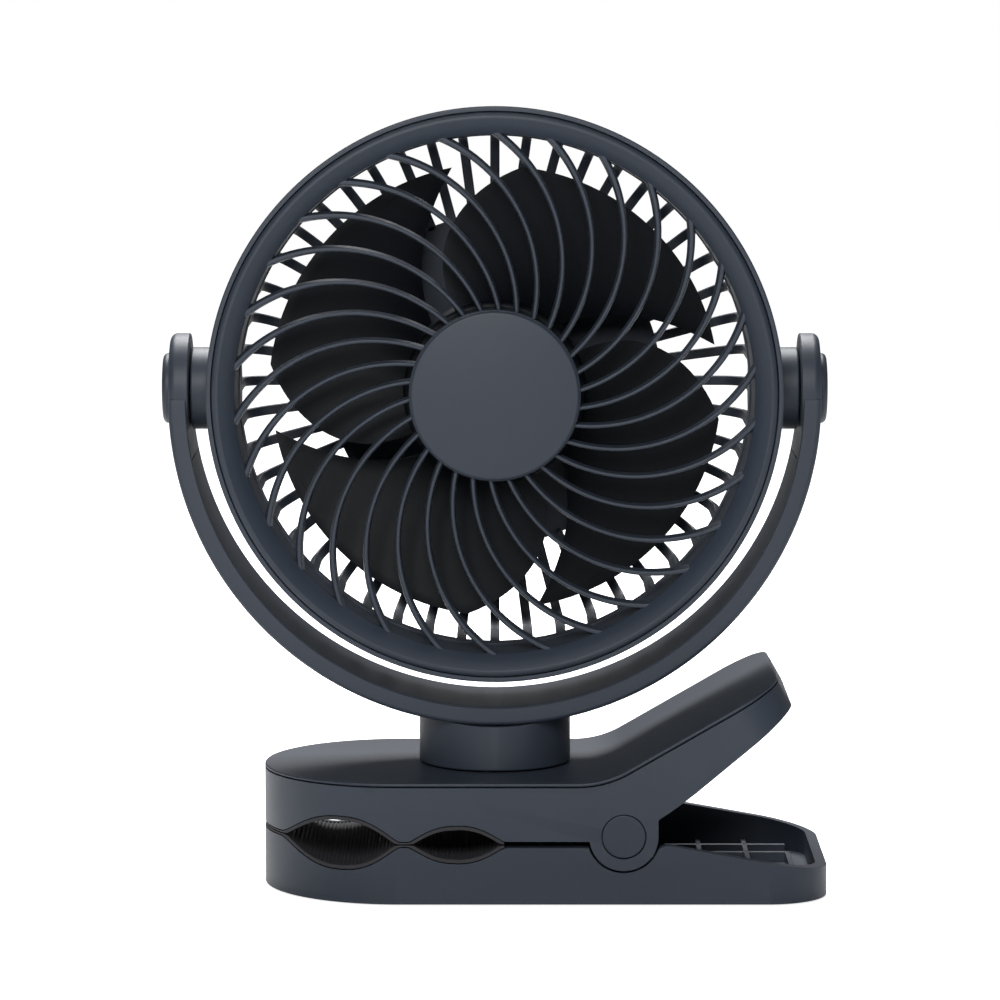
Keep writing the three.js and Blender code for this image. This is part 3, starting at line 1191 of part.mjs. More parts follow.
const neck = new THREE.Group();
neck.add(piece("neck", makeNeck(), FINISH.shell));
neck.add(piece("swivel_spindle", makeSpindle(), FINISH.steel));
neck.add(piece("swivel_washer", makeSwivelWasher(), FINISH.steel));
neck.add(piece("swivel_nut", makeSwivelNut(), FINISH.steel));

const yoke = new THREE.Group();
yoke.position.z = PIVOT_Z;
yoke.add(piece("yoke_frame", makeYokeFrame(), FINISH.shell));
yoke.add(piece("yoke_inner_cover", makeYokeLiner(), FINISH.shell));
yoke.add(piece("yoke_cable", makeYokeCable(), FINISH.dark));
for (const [name, side] of sideNames) {
  yoke.add(piece(`pivot_cap_${name}`, makePivotCap(side), FINISH.shell));
  yoke.add(piece(`pivot_washer_${name}`, makePivotWasher(side), FINISH.steel));
}

const head = new THREE.Group();
head.position.z = PIVOT_Z;
head.add(piece("front_grille", makeFrontGrille(), FINISH.shell));
head.add(piece("grille_disc", makeHubDisc(), FINISH.shell));
head.add(piece("rear_shell", makeRearShell(), FINISH.shell));
head.add(piece("motor_base", makeMotorBase(), FINISH.dark));
head.add(piece("motor_stator", makeStator(), FINISH.copper));
head.add(piece("bearing_front", makeBearing(tubeFront + 0.2), FINISH.steel));
head.add(piece("bearing_rear", makeBearing(motorBaseFront - BEARING_LENGTH), FINISH.steel));
for (const [name, side] of sideNames) {
  head.add(piece(`pivot_screw_${name}`, makePivotScrew(side), FINISH.steel));
}
const forwards = AXIS_Y.clone().negate();
REAR_SCREW_ANGLES.forEach((angle, i) => {
  const fastener = piece(`rear_screw_${i + 1}`, screw(REAR_SCREW_LENGTH, forwards), FINISH.steel);
  fastener.position.set(...onScrewCircle(angle));
  fastener.position.y = stepY + BASKET_WALL + SEAT_GAP;
  head.add(fastener);
});
head.add(piece("impeller", makeImpeller(), FINISH.dark));
head.add(piece("rotor_cup", makeRotorCup(), FINISH.steel));
head.add(piece("magnet_ring", makeMagnetRing(), FINISH.dark));
head.add(piece("motor_shaft", makeShaft(), FINISH.steel));

fan.add(lowerJaw, upperJaw, neck, yoke, head);
export default fan;
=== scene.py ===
"""Dresses the clip fan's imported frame: moulded shells, swirl grille, impeller, rubber pads and studio.

Lengths are written in millimetres and turned into metres where a mesh is made. +Z is up and the
grille faces -Y, as in the frame.
"""

import json
import logging
import math
from dataclasses import dataclass, replace
from enum import Enum
from typing import Callable, Iterable, Sequence

import bmesh
import bpy
from mathutils import Matrix, Vector


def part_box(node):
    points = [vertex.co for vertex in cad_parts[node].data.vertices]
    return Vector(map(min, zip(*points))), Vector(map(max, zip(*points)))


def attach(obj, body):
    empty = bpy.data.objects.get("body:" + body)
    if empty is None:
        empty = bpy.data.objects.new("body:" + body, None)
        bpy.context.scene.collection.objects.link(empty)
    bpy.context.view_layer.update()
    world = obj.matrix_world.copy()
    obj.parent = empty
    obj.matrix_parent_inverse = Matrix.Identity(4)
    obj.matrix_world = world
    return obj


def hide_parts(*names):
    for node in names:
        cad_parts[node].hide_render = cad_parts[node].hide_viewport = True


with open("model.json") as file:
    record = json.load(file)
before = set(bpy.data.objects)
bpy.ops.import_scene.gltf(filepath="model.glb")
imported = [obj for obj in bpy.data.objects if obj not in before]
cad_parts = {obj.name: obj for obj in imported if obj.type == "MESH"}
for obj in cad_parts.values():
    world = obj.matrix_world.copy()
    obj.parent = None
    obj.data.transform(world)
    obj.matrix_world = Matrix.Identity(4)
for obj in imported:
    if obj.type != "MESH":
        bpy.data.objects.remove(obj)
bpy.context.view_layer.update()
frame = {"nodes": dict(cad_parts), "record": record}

log = logging.getLogger("clip_fan")
MM = 0.001
OVERCUT = 1  # how far a tool reaches past what it cuts
WELD = 0.002  # points nearer than this become one
FLAT_ANGLE = 0.1  # edges flatter than this are dissolved
SHARP_MARGIN = 8  # edges sharper than the rounding's angle and this stay sharp
Point2 = tuple[float, float]
Point3 = tuple[float, float, float]
Ring = list[Point3]
Piece = bpy.types.Object
Tree = bpy.types.NodeTree
Socket = bpy.types.NodeSocket


# ---- Choices ----


class Axis(Enum):
    """An axis of the frame, by its place in a point."""

    X = 0
    Y = 1
    Z = 2


class Side(Enum):
    """One of two mirrored places, with the sign that it gives a coordinate."""

    LOW = -1
    HIGH = 1


class Cut(Enum):
    """What a boolean does with its tool."""

    JOIN = "UNION"
    TAKE = "DIFFERENCE"
    KEEP = "INTERSECT"


# ---- Mesh tools ----


def arc(u: float, v: float, radius: float, start: float, end: float, steps: int = 24) -> list[Point2]:
    """Gives points along an arc.

    Args:
        u: First coordinate of the centre.
        v: Second coordinate of the centre.
        radius: Radius of the arc.
        start: First angle, in degrees.
        end: Last angle, in degrees.
        steps: Number of straight lengths.

    Returns:
        The points, both ends included.
    """
    points = []
    for i in range(steps + 1):
        angle = math.radians(start + (end - start) * i / steps)
        points.append((u + radius * math.cos(angle), v + radius * math.sin(angle)))
    return points


def circle(u: float, v: float, radius: float, count: int = 90) -> list[Point2]:
    """Gives the points of a whole circle."""
    return arc(u, v, radius, 0, 360 - 360 / count, count - 1)


def corner(u: float, v: float, radius: float, side: Side, steps: int = 24) -> list[Point2]:
    """Gives the rounding of an outline's outer corner, upwards.

    Args:
        u: First coordinate of the sharp corner.
        v: Its second coordinate.
        radius: Radius of the rounding.
        side: Whether it is the outline's low or high corner.
        steps: Number of straight lengths.

    Returns:
        The points, both ends included.
    """
    start = -90 if side is Side.LOW else 0
    return arc(u - radius, v - side.value * radius, radius, start, start + 90, steps)


def both_corners(u: float, half: float, radius: float, steps: int = 24) -> list[Point2]:
    """Gives the low and the high corner of an outline that reaches from -half to half."""
    return [*corner(u, -half, radius, Side.LOW, steps), *corner(u, half, radius, Side.HIGH, steps)]


def curve(start: Point2, control: Point2, end: Point2, steps: int = 12) -> list[Point2]:
    """Gives points along a quadratic curve.

    Args:
        start: Its first point.
        control: The point that both ends aim at.
        end: Its last point.
        steps: Number of straight lengths.

    Returns:
        The points, both ends included.
    """
    points = []
    for i in range(steps + 1):
        share = i / steps
        weights = ((1 - share) ** 2, 2 * share * (1 - share), share**2)
        points.append(tuple(sum(w * p for w, p in zip(weights, at)) for at in zip(start, control, end)))
    return points


def place(u: float, v: float, along: float, axis: Axis) -> Point3:
    """Puts an outline's point into space.

    Args:
        u: The outline's first coordinate.
        v: The outline's second coordinate.
        along: The distance along the axis.
        axis: The axis that the outline is square to.

    Returns:
        The point, with u and v on the two other axes in X, Y, Z order.
    """
    if axis is Axis.X:
        return (along, u, v)
    if axis is Axis.Y:
        return (u, along, v)
    return (u, v, along)


def add_object(name: str, data: bpy.types.ID) -> Piece:
    """Links a new object that holds the given data to the scene.

    Args:
        name: The object's name.
        data: Its mesh, light or camera.

    Returns:
        The new object.
    """
    made = bpy.data.objects.new(name, data)
    bpy.context.scene.collection.objects.link(made)
    return made


def mesh_piece(name: str, vertices: Sequence[Point3], faces: Iterable[Sequence[int]]) -> Piece:
    """Makes a mesh object from millimetre points, its faces turned outwards.

    Args:
        name: The object's name.
        vertices: Points in millimetres.
        faces: Vertex numbers of each face.

    Returns:
        The new object, at the origin.
    """
    mesh = bpy.data.meshes.new(name)
    points = [tuple(MM * value for value in point) for point in vertices]
    mesh.from_pydata(points, [], [tuple(face) for face in faces])
    work = bmesh.new()
    work.from_mesh(mesh)
    bmesh.ops.remove_doubles(work, verts=work.verts, dist=WELD * MM)
    bmesh.ops.recalc_face_normals(work, faces=work.faces)
    work.to_mesh(mesh)
    work.free()
    return add_object(name, mesh)


def loft(name: str, rings: Sequence[Ring], closed: bool = False) -> Piece:
    """Skins rings of points that all have the same number.

    Args:
        name: The object's name.
        rings: The rings, in order.
        closed: Whether the last ring joins the first; if not, both ends get a face.

    Returns:
        The new object.
    """
    count = len(rings[0])
    vertices = [point for ring in rings for point in ring]
    faces: list[Sequence[int]] = []
    for i in range(len(rings) if closed else len(rings) - 1):
        first, second = i * count, ((i + 1) % len(rings)) * count
        for j in range(count):
            k = (j + 1) % count
            faces.append((first + j, first + k, second + k, second + j))
    if not closed:
        faces.append(range(count))
        faces.append(range((len(rings) - 1) * count, len(rings) * count))
    return mesh_piece(name, vertices, faces)


def prism(name: str, outline: Sequence[Point2], low: float, high: float, axis: Axis) -> Piece:
    """Extrudes an outline along an axis, from one height to another."""
    rings = [[place(u, v, along, axis) for u, v in outline] for along in (low, high)]
    return loft(name, rings)


def side_prism(name: str, outline: Sequence[Point2], near: float, far: float, side: Side) -> Piece:
    """Extrudes an outline along Y between two distances to one side of the middle.

    Args:
        name: The object's name.
        outline: The outline from the front.
        near: One distance from the middle.
        far: The other distance.
        side: The side.

    Returns:
        The new object.
    """
    return prism(name, outline, *sorted((side.value * near, side.value * far)), Axis.Y)


def lathe(name: str, profile: Sequence[Point2], axis: Axis, steps: int = 96, side: Side = Side.HIGH) -> Piece:
    """Turns a profile about an axis through the origin.

    Args:
        name: The object's name.
        profile: Pairs of radius and height; the ends join through the axis or to each other.
        axis: The axis that it turns about.
        steps: Number of flats round the circle.
        side: Which way along the axis the heights run.

    Returns:
        The new object.
    """
    rings = []
    for i in range(steps):
        angle = 2 * math.pi * i / steps
        cosine, sine = math.cos(angle), math.sin(angle)
        rings.append([place(r * cosine, r * sine, side.value * height, axis) for r, height in profile])
    return loft(name, rings, closed=True)


def move(piece: Piece, x: float = 0, y: float = 0, z: float = 0) -> Piece:
    """Shifts a piece's mesh by millimetres and returns the piece."""
    piece.data.transform(Matrix.Translation(Vector((x, y, z)) * MM))
    return piece


def apply_modifiers(piece: Piece) -> None:
    """Puts the result of a piece's modifiers into its own mesh.

    Args:
        piece: The piece.
    """
    old = piece.data
    depsgraph = bpy.context.evaluated_depsgraph_get()
    made = bpy.data.meshes.new_from_object(piece.evaluated_get(depsgraph))
    piece.modifiers.clear()
    piece.data = made
    made.name = piece.name
    bpy.data.meshes.remove(old)


def combine(piece: Piece, tool: Piece, cut: Cut) -> Piece:
    """Joins, takes away or keeps what a second solid shares with a first, and drops the second.

    Args:
        piece: The solid that is changed.
        tool: The solid that changes it.
        cut: What to do with the tool.

    Returns:
        The changed piece.
    """
    step = piece.modifiers.new("cut", "BOOLEAN")
    step.operation = cut.value
    step.solver = "EXACT"
    step.object = tool
    apply_modifiers(piece)
    bpy.data.objects.remove(tool)
    return piece


def merge(name: str, pieces: Sequence[Piece]) -> Piece:
    """Puts several pieces' meshes into one object, side by side, and drops the pieces.

    Args:
        name: The new object's name.
        pieces: The pieces, which are used up.

    Returns:
        The new object.
    """
    work = bmesh.new()
    for piece in pieces:
        work.from_mesh(piece.data)
        bpy.data.objects.remove(piece)
    mesh = bpy.data.meshes.new(name)
    work.to_mesh(mesh)
    work.free()
    return add_object(name, mesh)


def repeat_round(name: str, piece: Piece, count: int, axis: Axis, start: float = 0) -> Piece:
    """Repeats a piece round an axis through the origin.

    Args:
        name: The name of the whole set.
        piece: The first copy, which is used up.
        count: How many copies.
        axis: The axis that they go round.
        start: Angle of the first copy, in degrees.

    Returns:
        One object with all the copies.
    """
    copies = []
    for i in range(count):
        turned = piece.data.copy()
        turned.transform(Matrix.Rotation(math.radians(start + 360 * i / count), 4, axis.name))
        copies.append(add_object(name, turned))
    bpy.data.objects.remove(piece)
    return merge(name, copies)


def soften(piece: Piece, width: float, segments: int = 3, angle: float = 32) -> Piece:
    """Rounds a piece's sharp edges and shades it smooth.

    Args:
        piece: The piece.
        width: Width of the rounding, in millimetres; 0 leaves the edges.
        segments: Flats across the rounding.
        angle: Edges sharper than this, in degrees, are rounded.

    Returns:
        The piece.
    """
    work = bmesh.new()
    work.from_mesh(piece.data)
    bmesh.ops.dissolve_limit(work, angle_limit=math.radians(FLAT_ANGLE), verts=work.verts, edges=work.edges)
    work.to_mesh(piece.data)
    work.free()
    if width > 0:
        step = piece.modifiers.new("round", "BEVEL")
        step.width = width * MM
        step.segments = segments
        step.limit_method = "ANGLE"
        step.angle_limit = math.radians(angle)
        step.use_clamp_overlap = True
        step.miter_outer = "MITER_ARC"
        apply_modifiers(piece)
    piece.data.shade_smooth()
    piece.data.set_sharp_from_angle(angle=math.radians(angle + SHARP_MARGIN))
    even = piece.modifiers.new("even", "WEIGHTED_NORMAL")
    even.keep_sharp = True
    apply_modifiers(piece)
    return piece


# ---- Finishes ----


def new_group(name: str, inputs: dict[str, float], output: str) -> Tree:
    """Starts a shader node group with number sockets.

    Args:
        name: The group's name.
        inputs: Input names with their defaults.
        output: Name of its one output.

    Returns:
        The group, with its input and output nodes named "in" and "out".
    """
    group = bpy.data.node_groups.new(name, "ShaderNodeTree")
    for label, default in inputs.items():
        socket = group.interface.new_socket(label, in_out="INPUT", socket_type="NodeSocketFloat")
        socket.default_value = default
    group.interface.new_socket(output, in_out="OUTPUT", socket_type="NodeSocketFloat")
    group.nodes.new("NodeGroupInput").name = "in"
    group.nodes.new("NodeGroupOutput").name = "out"
    return group


def close_group(group: Tree, result: Socket) -> Tree:
    """Links a group's result to its output and returns the group."""
    group.links.new(result, group.nodes["out"].inputs[0])
    return group


def feed(tree: Tree, socket: Socket, value: object) -> None:
    """Gives an input its value: a link from another socket, or a number or colour.

    Args:
        tree: The node tree.
        socket: The input.
        value: What it gets.
    """
    if isinstance(value, Socket):
        tree.links.new(value, socket)
    else:
        socket.default_value = value


def feed_all(tree: Tree, node: bpy.types.Node, values: dict[str, object]) -> None:
    """Gives a node's inputs their values, by name."""
    for label, value in values.items():
        feed(tree, node.inputs[label], value)


def math_node(tree: Tree, operation: str, first: object, second: object) -> Socket:
    """Adds a Math node whose two inputs are sockets or numbers.

    Args:
        tree: The node tree.
        operation: What the node does.
        first: Its first input.
        second: Its second input.

    Returns:
        Its output.
    """
    node = tree.nodes.new("ShaderNodeMath")
    node.operation = operation
    feed(tree, node.inputs[0], first)
    feed(tree, node.inputs[1], second)
    return node.outputs[0]


def times(tree: Tree, first: object, second: object) -> Socket:
    """Multiplies two sockets or numbers."""
    return math_node(tree, "MULTIPLY", first, second)


def plus(tree: Tree, first: object, second: object) -> Socket:
    """Adds two sockets or numbers."""
    return math_node(tree, "ADD", first, second)


def range_node(tree: Tree, value: Socket, span: Point2, to: Point2 = (0, 1), smooth: bool = False) -> Socket:
    """Adds a Map Range node.

    Args:
        tree: The node tree.
        value: The socket that it reads.
        span: The values that it starts and ends at.
        to: What it gives at those two.
        smooth: Whether it eases in and out.

    Returns:
        Its output.
    """
    node = tree.nodes.new("ShaderNodeMapRange")
    node.interpolation_type = "SMOOTHSTEP" if smooth else "LINEAR"
    labels = ("Value", "From Min", "From Max", "To Min", "To Max")
    feed_all(tree, node, dict(zip(labels, (value, *span, *to))))
    return node.outputs["Result"]


def noise_node(tree: Tree, scale: object, detail: float) -> Socket:
    """Adds fractal noise in the object's own metres.

    Args:
        tree: The node tree.
        scale: Size of the noise, per metre.
        detail: Number of finer layers.

    Returns:
        Its value, from 0 to 1.
    """
    at = tree.nodes.new("ShaderNodeTexCoord").outputs["Object"]
    noise = tree.nodes.new("ShaderNodeTexNoise")
    feed_all(tree, noise, {"Vector": at, "Scale": scale, "Detail": detail})
    return noise.outputs["Fac"]


def grain_group() -> Tree:
    """Builds the fine grain of a moulded or sanded surface.

    Returns:
        A group with the input Size (mm) and the output Height, centred on 0.
    """
    coarse_scale, fine_share = 0.31, 0.65
    group = new_group("moulded_grain", {"Size": 0.3}, "Height")
    scale = math_node(group, "DIVIDE", 1 / MM, group.nodes["in"].outputs["Size"])
    fine = times(group, noise_node(group, scale, 3), fine_share)
    coarse = times(group, noise_node(group, times(group, scale, coarse_scale), 2), 1 - fine_share)
    return close_group(group, math_node(group, "SUBTRACT", plus(group, fine, coarse), 0.5))


def edge_highlight_group() -> Tree:
    """Builds the mask of sharp outer edges, which paints a highlight on them and makes them less rough.

    Returns:
        A group with the inputs Amount and Patchiness and the output Mask, which is 1 on sharp outer edges.
    """
    edge_span, patch_scale = (0.515, 0.60), 90
    group = new_group("edge_polish", {"Amount": 0.5, "Patchiness": 0.5}, "Mask")
    given = group.nodes["in"].outputs
    shape = group.nodes.new("ShaderNodeNewGeometry")
    # Convex edges, read from pointiness, get a painted highlight in the colour and a smoother roughness.
    edge = range_node(group, shape.outputs["Pointiness"], edge_span)
    patches = times(group, noise_node(group, patch_scale, 4), given["Patchiness"])
    kept = math_node(group, "SUBTRACT", 1.0, patches)
    return close_group(group, times(group, times(group, edge, kept), given["Amount"]))


def handling_group() -> Tree:
    """Builds the broad, faint unevenness that dust and fingers leave.

    Returns:
        A group with the inputs Scale and Amount and the output Value, centred on 0.
    """
    group = new_group("faint_handling", {"Scale": 24.0, "Amount": 0.1}, "Value")
    given = group.nodes["in"].outputs
    centred = math_node(group, "SUBTRACT", noise_node(group, given["Scale"], 5), 0.5)
    return close_group(group, times(group, centred, given["Amount"]))


GROUPS: dict[Callable[[], Tree], Tree] = {}


def group_node(tree: Tree, maker: Callable[[], Tree], values: dict[str, float]) -> Socket:
    """Places a shared group in a material.

    Args:
        tree: The material's node tree.
        maker: The function that builds the group, which runs on first use.
        values: The values of its inputs.

    Returns:
        The group node's output.
    """
    if maker not in GROUPS:
        GROUPS[maker] = maker()
    node = tree.nodes.new("ShaderNodeGroup")
    node.node_tree = GROUPS[maker]
    feed_all(tree, node, values)
    return node.outputs[0]


@dataclass(frozen=True)
class Finish:
    """A surface finish, with the numbers that its nodes take."""

    name: str
    colour: Point3
    # The paler colour that handling marks, grain and the painted edge highlight blend towards.
    handling_and_highlight_colour: Point3
    roughness: float
    metallic: float = 0.0
    grain_size: float = 0.3
    grain_depth: float = 0.02
    # Strength of the painted highlight on sharp edges, which also lowers their roughness.
    edge_highlight: float = 0.4
    mottle: float = 0.12
    specular: float = 0.5
    coat: float = 0.0
    patchiness: float = 0.6
    cloud_scale: float = 24.0
    least_pale_share: float = 0.08
    speckle: float = 0.3
    rough_cloud: float = 0.6
    rough_speckle: float = 0.12
    rough_edge: float = -0.12

    def material(self) -> bpy.types.Material:
        """Gives the finish's material, built on first use."""
        return bpy.data.materials.get(self.name) or self.build()

    def build(self) -> bpy.types.Material:
        """Builds the material: mottled colour, edges lightened as a painted highlight, uneven roughness and
        grain.

        Returns:
            The new material.
        """
        material = bpy.data.materials.new(self.name)
        material.use_nodes = True
        tree = material.node_tree
        grain = group_node(tree, grain_group, {"Size": self.grain_size})
        edge_highlight = group_node(tree, edge_highlight_group, {"Amount": self.edge_highlight, "Patchiness": self.patchiness})
        cloud = group_node(tree, handling_group, {"Scale": self.cloud_scale, "Amount": self.mottle})

        # The painted edge highlight plus handling mottle and grain speckle decide how far the colour pales.
        share = plus(tree, plus(tree, edge_highlight, cloud), times(tree, grain, self.speckle))
        factor = math_node(tree, "MAXIMUM", plus(tree, share, self.least_pale_share), 0.0)
        tint = tree.nodes.new("ShaderNodeMix")
        tint.data_type = "RGBA"
        feed_all(tree, tint, {"Factor": factor, "A": (*self.colour, 1), "B": (*self.handling_and_highlight_colour, 1)})

        rough = self.roughness
        amounts = (self.rough_cloud, self.rough_speckle, self.rough_edge)
        for source, amount in zip((cloud, grain, edge_highlight), amounts):
            rough = plus(tree, rough, times(tree, source, amount))

        bump = tree.nodes.new("ShaderNodeBump")
        feed_all(tree, bump, {"Distance": self.grain_depth * MM, "Strength": 1.0, "Height": grain})
        feed_all(tree, tree.nodes["Principled BSDF"], {
            "Base Color": tint.outputs["Result"], "Metallic": self.metallic, "Roughness": rough,
            "Specular IOR Level": self.specular, "Coat Weight": self.coat, "Normal": bump.outputs["Normal"],
        })
        return material


SHELL = Finish("satin_shell", (0.023, 0.030, 0.043), (0.042, 0.052, 0.070), 0.50, specular=0.30,
               grain_size=0.35, grain_depth=0.025)
COVER = replace(SHELL, name="satin_cover", grain_depth=0.020)
# A darker, less glossy copy of the shell's finish, as painted shade for the head's shadow on the yoke's
# strip.
SHADED_STRIP = Finish("satin_strip", (0.015, 0.020, 0.029), (0.032, 0.040, 0.054), 0.52, specular=0.15,
               grain_size=0.35, grain_depth=0.020)
BLADE = Finish("dark_blade", (0.0025, 0.0033, 0.0050), (0.006, 0.008, 0.011), 0.50, specular=0.10,
               grain_size=0.5, grain_depth=0.015)
PAD = Finish("pad_rubber", (0.026, 0.028, 0.031), (0.050, 0.053, 0.056), 0.62, specular=0.4,
             grain_size=0.22, grain_depth=0.04)
JACKET = Finish("cable_jacket", (0.010, 0.010, 0.011), (0.025, 0.025, 0.026), 0.55, grain_size=0.4)
STEEL = Finish("plain_steel", (0.50, 0.51, 0.52), (0.68, 0.69, 0.70), 0.32, metallic=1.0,
               grain_size=0.6, grain_depth=0.01)
COPPER = Finish("stator_copper", (0.46, 0.19, 0.09), (0.62, 0.30, 0.16), 0.38, metallic=1.0, grain_size=0.4)
MAGNET = Finish("sintered_magnet", (0.045, 0.045, 0.048), (0.09, 0.09, 0.09), 0.55, metallic=0.6,
                grain_size=0.2)
BOARD = Finish("board_lacquer", (0.012, 0.07, 0.03), (0.03, 0.12, 0.06), 0.35, grain_size=0.8, coat=0.3)
FOIL = Finish("battery_foil", (0.55, 0.56, 0.57), (0.72, 0.73, 0.74), 0.36, metallic=0.9,
              grain_size=0.9, grain_depth=0.06)
LENS = Finish("milky_lens", (0.36, 0.38, 0.40), (0.48, 0.50, 0.52), 0.22, grain_size=0.8, grain_depth=0.005)

SLOT_FINISH = {
    "shell_plastic": SHELL, "dark_plastic": BLADE, "pad_rubber": PAD, "cable_jacket": JACKET,
    "steel": STEEL, "magnet": MAGNET, "stator_copper": COPPER, "board": BOARD, "battery_foil": FOIL,
    "light_lens": LENS,
}

NODE_FINISH = {"power_button": COVER}


def dress(piece: Piece, body: str, slot: str, finish: Finish, *nodes: str) -> None:
    """Gives a new piece its finish, its body and the CAD nodes that it stands for.

    Args:
        piece: The new piece.
        body: The body that it moves with.
        slot: The record's material slot; not used.
        finish: Its finish.
        *nodes: The CAD nodes that it replaces.
    """
    piece.data.materials.clear()
    piece.data.materials.append(finish.material())
    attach(piece, body)
    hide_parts(*nodes)
    log.info("%s: %d faces, rides %s", piece.name, len(piece.data.polygons), body)


# ---- Clip ----


@dataclass
class ClipForm:
    """The outlines that both jaws share: plan, mouths and top line."""

    depth: float = 72
    nose_x: float = -60.8
    tail_x: float = 86.6
    tail_corner: float = 16
    top_z: float = 32
    seam_z: float = 16
    foot_lift: float = 0.4
    wall: float = 2.2
    mouth_x: tuple[float, float] = (-40, -9.8)
    mouth_half_span: tuple[float, float] = (15.6, 12.6)
    mouth_half_height: tuple[float, float] = (7.1, 5.1)
    pinch_half_gap: float = 0.8
    slot_half_gap: float = 0.85
    hinge_x: float = 33.3
    hinge_z: float = 18.1
    lug_radius: float = 8.9
    lug_gap: float = 0.6
    lug_corner_z: float = 22.5
    lever_angle: float = 30
    lever_bend_x: float = 28.3
    lever_bend_radius: float = 26
    lever_length: float = 51.5
    lever_tip_thickness: float = 8.3
    lever_tip_corner: float = 14
    wave_step: float = 0.7
    mouth_power: float = 2.4
    mouth_bulge: float = 1.35
    nose_plan_end: float = 42
    lever_reach: Point2 = (-45, 15)
    above: float = 20

    @property
    def half_depth(self) -> float:
        """Half the clip's front-to-rear size."""
        return self.depth / 2

    def nose(self, inset: float) -> list[Point2]:
        """Gives the round nose in plan."""
        return arc(self.nose_x + self.half_depth, 0, self.half_depth - inset, 90, 270, 96)

    def base_plan(self, inset: float, low: float = 0) -> Piece:
        """Makes the solid of everything inside the lower jaw's plan, from a height up."""
        end = both_corners(self.tail_x - inset, self.half_depth - inset, self.tail_corner - inset)
        return prism("base_plan", [*end, *self.nose(inset)], low, self.top_z, Axis.Z)

    def half_gap(self, x: float) -> float:
        """Gives half the height of the gap between the shells at x.

        Args:
            x: The place along the clip.

        Returns:
            Half the gap.
        """
        gap = self.slot_half_gap if x > self.mouth_x[1] else self.pinch_half_gap
        rests = (self.pinch_half_gap, self.slot_half_gap)
        mouths = zip(self.mouth_x, self.mouth_half_span, self.mouth_half_height, rests)
        for centre, span, height, rest in mouths:
            share = abs(x - centre) / span
            if share < 1:
                gap += (height - rest) * (1 - share**self.mouth_power) ** self.mouth_bulge
        return gap

    def wave(self, side: Side, clearance: float, end_x: float) -> list[Point2]:
        """Gives a shell's wavy edge from beyond the nose to an x, seen from the front.

        Args:
            side: Which shell.
            clearance: How far the line stands back from the shell's edge.
            end_x: Where the line ends.

        Returns:
            The points, from the nose on.
        """
        start_x = self.nose_x - OVERCUT
        steps = math.ceil(abs(end_x - start_x) / self.wave_step)
        points = []
        for i in range(steps + 1):
            x = start_x + (end_x - start_x) * i / steps
            points.append((x, self.seam_z + side.value * (self.half_gap(x) + clearance)))
        return points

    def seam_angle(self, radius: float, side: Side) -> float:
        """Gives the angle, in degrees, at which a circle round the hinge meets a shell's edge at the slot."""
        drop = self.hinge_z - (self.seam_z + side.value * self.slot_half_gap)
        return math.degrees(math.atan2(-drop, -math.sqrt(radius**2 - drop**2)))

    def on_lever(self, along: float, below: float) -> Point2:
        """Gives a point of the lever by its distance along the sloping top and below it.

        Args:
            along: Distance from the bend, up the slope.
            below: Depth, square to the slope.

        Returns:
            The point, seen from the front.
        """
        slope = math.radians(self.lever_angle)
        x = self.lever_bend_x + along * math.cos(slope) + below * math.sin(slope)
        return (x, self.top_z + along * math.sin(slope) - below * math.cos(slope))

    def top_line(self, below: float, overrun: float) -> list[Point2]:
        """Gives the upper jaw's top line from the lever's end back to the nose, at a depth below it.

        Args:
            below: Depth of the line below the top.
            overrun: How far it runs past the lever's end.

        Returns:
            The points.
        """
        radius, slope = self.lever_bend_radius, self.lever_angle
        start = self.lever_bend_x - radius * math.tan(math.radians(slope / 2))
        bend = arc(start, self.top_z + radius, radius + below, slope - 90, -90)
        nose = (self.nose_x - OVERCUT, self.top_z - below)
        return [self.on_lever(self.lever_length + overrun, below), *bend, nose]

    def upper_plan(self, inset: float) -> Piece:
        """Makes the solid of everything inside the upper jaw's plan, the lever's end square to the lever.

        Args:
            inset: How far it stays inside the plan.

        Returns:
            The solid.
        """
        half, x = self.half_depth - inset, self.nose_plan_end
        outline = [(x, -half), (x, half), *self.nose(inset)]
        nose = prism("nose_plan", outline, 0, self.top_z + self.above, Axis.Z)
        end = both_corners(self.lever_length - inset, half, self.lever_tip_corner - inset)
        lever = prism("lever_plan", [(0, -half), *end, (0, half)], *self.lever_reach, Axis.Z)
        lever.data.transform(Matrix.Rotation(math.radians(-self.lever_angle), 4, "Y"))
        return combine(nose, move(lever, self.lever_bend_x, 0, self.top_z), Cut.JOIN)

    def slab(self, name: str, outline: Sequence[Point2]) -> Piece:
        """Extrudes a front outline right through the clip."""
        return prism(name, outline, -self.depth, self.depth, Axis.Y)

    def top_layer(self, above: float, below: float) -> Piece:
        """Makes the layer along the top line, from a height above it to a depth below."""
        high, low = (self.top_line(depth, OVERCUT) for depth in (-above, below))
        return self.slab("top_layer", [*reversed(high), *low])


